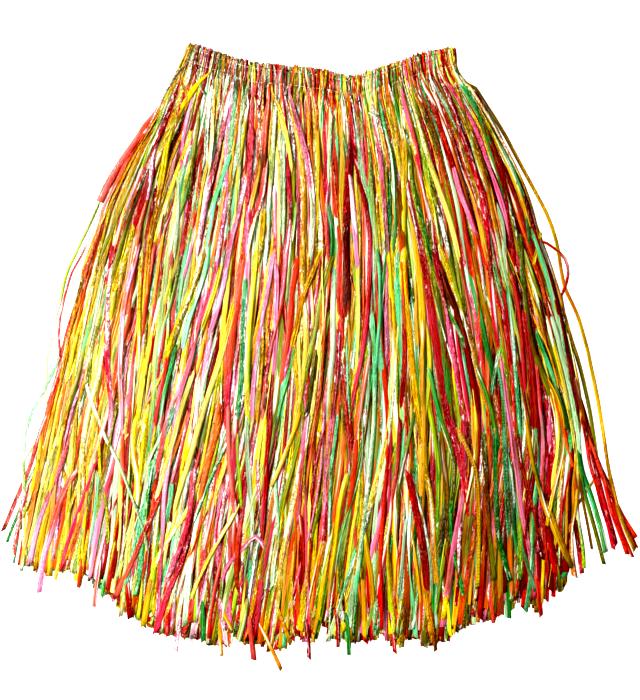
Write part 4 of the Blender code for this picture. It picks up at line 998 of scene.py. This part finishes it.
def film(name, rough=0.16):
    """Crinkled split film: painted pearly sheen and glints along it, fine lengthwise fibres, cross crinkles, and
    painted shade in its folds, creases and facets.
    """
    mat = bpy.data.materials.new(name)
    mat.use_nodes = True
    nt = mat.node_tree
    nodes, links = nt.nodes, nt.links
    bsdf = nodes["Principled BSDF"]
    bsdf.inputs["Specular IOR Level"].default_value = 0.20

    def node(kind, **values):
        n = nodes.new(kind)
        for k, v in values.items():
            setattr(n, k, v)
        return n

    def attribute(name):
        return node("ShaderNodeAttribute", attribute_name=name)

    def mapped(scale):
        m = node("ShaderNodeMapping")
        m.inputs["Scale"].default_value = scale
        links.new(strip.outputs["Vector"], m.inputs["Vector"])
        return m.outputs["Vector"]

    def noise(scale, detail=3.0, roughness=0.55):
        n = node("ShaderNodeTexNoise")
        n.inputs["Scale"].default_value = 1.0
        n.inputs["Detail"].default_value = detail
        n.inputs["Roughness"].default_value = roughness
        links.new(mapped(scale), n.inputs["Vector"])
        return n.outputs["Fac"]

    def math_node(op, a, b=None, clamp=False):
        m = node("ShaderNodeMath", operation=op, use_clamp=clamp)
        for i, v in enumerate((a, b)):
            if v is None:
                continue
            if isinstance(v, (int, float)):
                m.inputs[i].default_value = v
            else:
                links.new(v, m.inputs[i])
        return m.outputs[0]

    def band(value, lo, hi, to_lo=0.0, to_hi=1.0):
        m = node("ShaderNodeMapRange", interpolation_type="SMOOTHSTEP")
        links.new(value, m.inputs["Value"])
        for key, v in (("From Min", lo), ("From Max", hi), ("To Min", to_lo), ("To Max", to_hi)):
            m.inputs[key].default_value = v
        return m.outputs["Result"]

    def mix(fac, a, b, mode="MIX"):
        m = node("ShaderNodeMix", data_type="RGBA", blend_type=mode)
        for sock, v in ((m.inputs[0], fac), (m.inputs[6], a), (m.inputs[7], b)):
            if isinstance(v, (int, float)):
                sock.default_value = v
            elif isinstance(v, tuple):
                sock.default_value = v
            else:
                links.new(v, sock)
        return m.outputs[2]

    def shifted(scale, shift):
        """The ribbon's own coordinates, scaled, and pushed about by a noise."""
        n = node("ShaderNodeTexNoise")
        n.inputs["Scale"].default_value = 1.0
        links.new(mapped((0.35, 0.12, 1.0)), n.inputs["Vector"])
        away = node("ShaderNodeVectorMath", operation="MULTIPLY_ADD")
        links.new(n.outputs["Color"], away.inputs[0])
        away.inputs[1].default_value = shift
        links.new(mapped(scale), away.inputs[2])
        return away.outputs["Vector"]

    def facets(where, feature="F1"):
        n = node("ShaderNodeTexVoronoi", feature=feature)
        n.inputs["Scale"].default_value = 1.0
        links.new(where, n.inputs["Vector"])
        return n

    strip = attribute("strip")
    tint, behind, bloom, ladder, crush = (attribute(n) for n in ("tint", "behind", "bloom", "ladder", "crush"))
    where = shifted((0.62, 0.15, 1.0), (1.6, 2.0, 0.0))
    facet = facets(where)
    edge = facets(where, "DISTANCE_TO_EDGE").outputs["Distance"]
    split = node("ShaderNodeSeparateColor")
    links.new(facet.outputs["Color"], split.inputs["Color"])
    one, two = split.outputs["Red"], split.outputs["Green"]
    crinkle = noise((0.45, 0.22, 1.0), 3.0, 0.6)
    streak = noise((0.55, 0.022, 1.0), 1.0)
    fibre = noise((1.0, 0.03, 1.0), 2.0)
    patch = noise((0.12, 0.035, 1.0), 2.0, 0.6)
    nick = noise((0.50, 0.38, 1.0), 1.0)
    creases = facets(shifted((0.30, 0.20, 1.0), (1.5, 1.6, 0.0)), "DISTANCE_TO_EDGE").outputs["Distance"]

    def add(*terms):
        total = terms[0]
        for t in terms[1:]:
            total = math_node("ADD", total, t)
        return total

    def times(a, b):
        return math_node("MULTIPLY", a, b)

    tinted = mix(1.0, tint.outputs["Color"], behind.outputs["Color"], "MULTIPLY")
    through = add(behind.outputs["Alpha"], times(streak, 1.3), times(fibre, 0.8), times(patch, 0.7), times(crinkle, 0.5), -1.65)
    body = mix(band(through, 0.40, 0.60, 0.0, 0.88), tint.outputs["Color"], tinted)
    # painted shade: deep is a darker, richer copy of the colour and darkest a darker one still; they darken the film
    # along lengthwise streaks and fibres, as in fine folds, and on some facets of crumpled film
    deep = mix(1.0, body, body, "MULTIPLY")
    darkest = mix(1.0, deep, tint.outputs["Color"], "MULTIPLY")
    body = mix(band(streak, 0.46, 0.37, 0.0, 0.55), body, deep)
    body = mix(band(fibre, 0.47, 0.41, 0.0, 0.50), body, deep)
    body = mix(times(band(one, 0.30, 0.24), times(crush.outputs["Fac"], 0.7)), body, deep)
    # painted highlight: the colour mixed towards white along streaks where the painted sheen is high, and on pale
    # facets of crumpled film
    painted_gloss = times(bloom.outputs["Fac"], add(times(streak, 1.4), 0.3))
    streak_highlight = band(painted_gloss, 0.32, 0.66, 0.0, 0.9)
    facet_highlight = band(add(times(one, crush.outputs["Fac"]), times(bloom.outputs["Fac"], 0.6)), 0.94, 1.0)
    pale = mix(0.82, body, (0.95, 0.94, 0.88, 1.0))
    soft_pale = mix(0.62, body, (0.96, 0.95, 0.90, 1.0))
    body = mix(streak_highlight, mix(facet_highlight, body, soft_pale), pale)
    # painted glints: small pale specks on crumpled film
    glint = times(times(band(nick, 0.40, 0.36), crush.outputs["Fac"]), times(band(patch, 0.50, 0.56), add(bloom.outputs["Fac"], 0.3)))
    body = mix(times(glint, 0.6), body, soft_pale)
    # painted shade: dark lines in the creases between crinkle facets and dark specks at small dents
    line = times(times(band(creases, 0.10, 0.04), band(patch, 0.44, 0.52)), crush.outputs["Fac"])
    spot = times(band(nick, 0.62, 0.65), crush.outputs["Fac"])
    crease_shade = math_node("MAXIMUM", line, times(spot, 0.75))
    colour = mix(times(crease_shade, 0.9), body, mix(0.45, darkest, deep))
    links.new(colour, bsdf.inputs["Base Color"])
    links.new(band(crinkle, 0.3, 0.7, rough + 0.10, rough - 0.05), bsdf.inputs["Roughness"])
    wave = node("ShaderNodeTexWave", wave_type="BANDS", bands_direction="Y")
    wave.inputs["Scale"].default_value = 0.31
    wave.inputs["Distortion"].default_value = 1.5
    links.new(mapped((1.0, 0.3, 1.0)), wave.inputs["Vector"])
    height = math_node("ADD", math_node("MULTIPLY", crinkle, 0.8), math_node("MULTIPLY", fibre, 0.35))
    height = math_node("ADD", height, math_node("MULTIPLY", streak, 0.7))
    height = math_node("ADD", height, math_node("MULTIPLY", math_node("MULTIPLY", edge, crush.outputs["Fac"]), 2.2))
    height = math_node("ADD", height, math_node("MULTIPLY", spot, -0.25))
    height = math_node("ADD", height, math_node("MULTIPLY", math_node("MULTIPLY", wave.outputs["Fac"], ladder.outputs["Fac"]), 1.2))
    bump = node("ShaderNodeBump")
    bump.inputs["Strength"].default_value = 1.0
    bump.inputs["Distance"].default_value = 0.0007
    links.new(height, bump.inputs["Height"])
    links.new(bump.outputs["Normal"], bsdf.inputs["Normal"])
    return mat


HUES = ("yellow", "pink", "green", "yellow", "orange", "red", "pink", "yellow", "green", "orange", "yellow", "red",
        "pink", "green", "red")
for name, ribbons in pieces.items():
    side, kind = name.split("_", 1)
    obj = build(f"{side}_ribbons_{kind}" if side != "inner" else f"{kind}_inner_ribbons", ribbons)
    obj.data.materials.append(film(f"film_{name}"))
    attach(obj, "root")
    slot = SLOTS.get(kind, "raffia_yellow")
    if side in ("front", "back"):
        for i, hue in enumerate(HUES):
            if slot == f"raffia_{hue}" and kind not in ("mint", "gold"):
                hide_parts(f"{side}_hank_{i + 1:02d}")

# ------------------------------------------------------------------ stitches
def stitch_rows(name, side):
    """Two rows of thread across the band: each stitch a short tube that dives into the gathers at both ends."""
    verts, faces = [], []
    for row, (down, pitch) in enumerate(((5.0, 3.4), (19.0, 3.6))):
        count = int(287 / pitch)
        for i in range(count):
            u_mid = (i + 0.5 + rng.uniform(-0.12, 0.12)) / count
            half = rng.uniform(0.36, 0.46) / count
            steps = 7
            us = np.linspace(u_mid - half, u_mid + half, steps)
            path = fan(us, (down + rng.normal(0, 0.25) + rng.uniform(-0.5, 0.5) * np.linspace(-1, 1, steps)) / LENGTH)
            i_, j_ = pile.cells(path)
            if side == "front":
                z = smooth(pile.h[i_, j_], 1.2) + rng.uniform(-0.25, 0.30) - 0.9 * np.abs(np.linspace(-1, 1, steps)) ** 3
            else:
                z = np.full(steps, 0.30) + 0.5 * np.abs(np.linspace(-1, 1, steps)) ** 3
            t = np.gradient(path, axis=0)
            t /= np.linalg.norm(t, axis=1)[:, None]
            n = np.stack([-t[:, 1], t[:, 0]], axis=1)
            r = 0.30 if side == "front" else 0.24
            base = len(verts)
            for k in range(steps):
                thin = r * (0.75 if k in (0, steps - 1) else 1.0)
                for a in np.arange(6) * math.pi / 3:
                    verts.append((*(path[k] + n[k] * thin * math.cos(a)), z[k] + thin * math.sin(a)))
            for k in range(steps - 1):
                for a in range(6):
                    b = (a + 1) % 6
                    q = base + k * 6
                    faces.append((q + a, q + b, q + 6 + b, q + 6 + a))
            faces.append(tuple(base + a for a in range(5, -1, -1)))
            faces.append(tuple(base + (steps - 1) * 6 + a for a in range(6)))
    mesh = bpy.data.meshes.new(name)
    mesh.from_pydata([tuple(c * MM for c in v) for v in verts], [], faces)
    mesh.polygons.foreach_set("use_smooth", np.ones(len(mesh.polygons), bool))
    obj = bpy.data.objects.new(name, mesh)
    bpy.context.scene.collection.objects.link(obj)
    mat = bpy.data.materials.new(name)
    mat.use_nodes = True
    nt = mat.node_tree
    b = nt.nodes["Principled BSDF"]
    b.inputs["Roughness"].default_value = 0.55
    b.inputs["Sheen Weight"].default_value = 0.3
    tex = nt.nodes.new("ShaderNodeTexCoord")
    w = nt.nodes.new("ShaderNodeTexNoise")
    w.inputs["Scale"].default_value = 900
    nt.links.new(tex.outputs["Object"], w.inputs["Vector"])
    r = nt.nodes.new("ShaderNodeMapRange")
    nt.links.new(w.outputs["Fac"], r.inputs["Value"])
    m = nt.nodes.new("ShaderNodeMix")
    m.data_type = "RGBA"
    nt.links.new(r.outputs["Result"], m.inputs[0])
    m.inputs[6].default_value = (0.80, 0.79, 0.76, 1)
    m.inputs[7].default_value = (0.97, 0.96, 0.94, 1)
    nt.links.new(m.outputs[2], b.inputs["Base Color"])
    obj.data.materials.append(mat)
    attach(obj, "root")
    return obj


stitch_rows("front_stitches", "front")
stitch_rows("back_stitches", "back")

# ------------------------------------------------------------------ elastic
def webbing(name):
    """The flattened elastic ring inside the header: ribbed lengthwise, puckered by the gathers, its half turns at the
    sides of the waist."""
    z_front, z_back, wide, top = 7.7, 3.1, 12.0, 5.6
    lo, hi = 0.012, 0.988
    path = [(lo + (hi - lo) * i / 240, z_front, 1.0, 0.0) for i in range(241)]
    r = (z_front - z_back) / 2
    for a in np.radians(np.arange(75, -76, -15)):
        path.append((hi + math.cos(a) * 0.006, (z_front + z_back) / 2 + r * math.sin(a), math.sin(a), math.cos(a)))
    path += [(hi - (hi - lo) * i / 240, z_back, -1.0, 0.0) for i in range(241)]
    for a in np.radians(np.arange(-75, 76, 15)):
        path.append((lo - math.cos(a) * 0.006, (z_front + z_back) / 2 + r * math.sin(a), math.sin(a), -math.cos(a)))
    ribs = 25
    verts, faces, uv = [], [], []
    for k, (u, z, nz, nx) in enumerate(path):
        share = np.interp(u, WAIST_SHARE, HEM_SHARE)
        pucker = 0.16 * math.sin(k * 2.1) + 0.08 * math.sin(k * 0.83 + 1)
        ring = []
        for side in (1, -1):
            for j in range(ribs) if side == 1 else range(ribs - 1, -1, -1):
                v = j / (ribs - 1)
                p = fan(share, (top + wide * v) / LENGTH)
                half = 0.52 + (0.09 if j % 2 else 0.0) - 0.30 * (abs(2 * v - 1) > 0.97)
                ring.append((p[0] + nx * half * side, p[1], z + nz * half * side + pucker * nz))
        base = len(verts)
        verts += ring
        m = len(ring)
        for j in range(m):
            faces.append((base + j, base + (j + 1) % m, (base + m + (j + 1) % m) % (len(path) * m), (base + m + j) % (len(path) * m)))
            v0, v1, k0, k1 = j / m, (j + 1) / m, k / len(path), (k + 1) / len(path)
            uv += [(v0, k0), (v1, k0), (v1, k1), (v0, k1)]
    mesh = bpy.data.meshes.new(name)
    mesh.from_pydata([tuple(c * MM for c in v) for v in verts], [], faces)
    layer = mesh.uv_layers.new(name="OFBake")
    layer.data.foreach_set("uv", np.array(uv, np.float32).ravel())
    mesh.polygons.foreach_set("use_smooth", np.ones(len(mesh.polygons), bool))
    obj = bpy.data.objects.new(name, mesh)
    bpy.context.scene.collection.objects.link(obj)
    mat = bpy.data.materials.new("elastic_web")
    mat.use_nodes = True
    nt = mat.node_tree
    b = nt.nodes["Principled BSDF"]
    b.inputs["Roughness"].default_value = 0.78
    b.inputs["Sheen Weight"].default_value = 0.25
    at = nt.nodes.new("ShaderNodeTexCoord")
    thread = nt.nodes.new("ShaderNodeTexWave")
    thread.bands_direction = "X"
    thread.inputs["Scale"].default_value = 230
    thread.inputs["Distortion"].default_value = 1.2
    nt.links.new(at.outputs["Object"], thread.inputs["Vector"])
    fuzz = nt.nodes.new("ShaderNodeTexNoise")
    fuzz.inputs["Scale"].default_value = 1400
    nt.links.new(at.outputs["Object"], fuzz.inputs["Vector"])
    both = nt.nodes.new("ShaderNodeMath")
    both.operation = "MULTIPLY"
    nt.links.new(thread.outputs["Fac"], both.inputs[0])
    nt.links.new(fuzz.outputs["Fac"], both.inputs[1])
    m = nt.nodes.new("ShaderNodeMix")
    m.data_type = "RGBA"
    nt.links.new(both.outputs[0], m.inputs[0])
    m.inputs[6].default_value = (0.62, 0.60, 0.55, 1)
    m.inputs[7].default_value = (0.94, 0.93, 0.89, 1)
    nt.links.new(m.outputs[2], b.inputs["Base Color"])
    bump = nt.nodes.new("ShaderNodeBump")
    bump.inputs["Strength"].default_value = 0.6
    bump.inputs["Distance"].default_value = 0.0003
    nt.links.new(both.outputs[0], bump.inputs["Height"])
    nt.links.new(bump.outputs["Normal"], b.inputs["Normal"])
    obj.data.materials.append(mat)
    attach(obj, "root")
    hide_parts("elastic_band")
    return obj


webbing("elastic_webbing")

# ------------------------------------------------------------------ floor, light, camera
bpy.ops.mesh.primitive_plane_add(size=60, location=(0, 0, -0.0006))
floor = bpy.context.object
floor.name = "floor"
fm = bpy.data.materials.new("floor_white")
fm.use_nodes = True
fm.node_tree.nodes["Principled BSDF"].inputs["Base Color"].default_value = (0.95, 0.95, 0.95, 1)
fm.node_tree.nodes["Principled BSDF"].inputs["Roughness"].default_value = 0.9
fm.node_tree.nodes["Principled BSDF"].inputs["Emission Color"].default_value = (1, 1, 1, 1)
fm.node_tree.nodes["Principled BSDF"].inputs["Emission Strength"].default_value = 0.97
floor.data.materials.append(fm)
bpy.ops.mesh.primitive_cylinder_add(vertices=96, radius=14, depth=40, end_fill_type="NOTHING", location=(0, 0, 0))
wall = bpy.context.object                       # a plain round backdrop behind the floor, which throws no light
wall.name = "wall"
wm = bpy.data.materials.new("wall_white")
wm.use_nodes = True
wm.node_tree.nodes["Principled BSDF"].inputs["Base Color"].default_value = (0.95, 0.95, 0.95, 1)
wm.node_tree.nodes["Principled BSDF"].inputs["Roughness"].default_value = 0.9
wm.node_tree.nodes["Principled BSDF"].inputs["Emission Color"].default_value = (1, 1, 1, 1)
wm.node_tree.nodes["Principled BSDF"].inputs["Emission Strength"].default_value = 0.97
wall.data.materials.append(wm)
wall.visible_diffuse = wall.visible_glossy = wall.visible_transmission = wall.visible_shadow = False

world = bpy.data.worlds.new("studio")
bpy.context.scene.world = world
world.use_nodes = True
world.node_tree.nodes["Background"].inputs["Color"].default_value = (1, 1, 1, 1)
world.node_tree.nodes["Background"].inputs["Strength"].default_value = 0.12


def softbox(name, at, size, power, target=(0, 0, 0)):
    light = bpy.data.lights.new(name, "AREA")
    light.shape = "RECTANGLE"
    light.size, light.size_y = size
    light.energy = power
    obj = bpy.data.objects.new(name, light)
    bpy.context.scene.collection.objects.link(obj)
    obj.location = at
    from mathutils import Vector
    obj.rotation_mode = "QUATERNION"
    obj.rotation_quaternion = (Vector(target) - Vector(at)).to_track_quat("-Z", "Y")


softbox("key", (-1.75, 0.45, 1.45), (0.45, 0.45), 112)
softbox("top", (-0.35, 0.25, 2.8), (0.30, 0.30), 20)
softbox("fill", (1.6, -0.4, 1.6), (0.8, 0.8), 7)

cam_data = bpy.data.cameras.new("camera")
cam = bpy.data.objects.new("camera", cam_data)
bpy.context.scene.collection.objects.link(cam)
cx, cy = place(320, 350)
cam.location = (cx * MM, cy * MM, 2.51)
cam.rotation_euler = (0, 0, 0)
cam_data.sensor_width = 36
cam_data.lens = 36 * 2.5 / 0.735
cam_data.dof.use_dof = False
bpy.context.scene.camera = cam
bpy.context.scene.view_settings.view_transform = "Standard"
bpy.context.scene.view_settings.gamma = 0.75
bpy.context.scene.view_settings.use_curve_mapping = True
bpy.context.scene.view_settings.curve_mapping.black_level = (0.026, 0.026, 0.026)
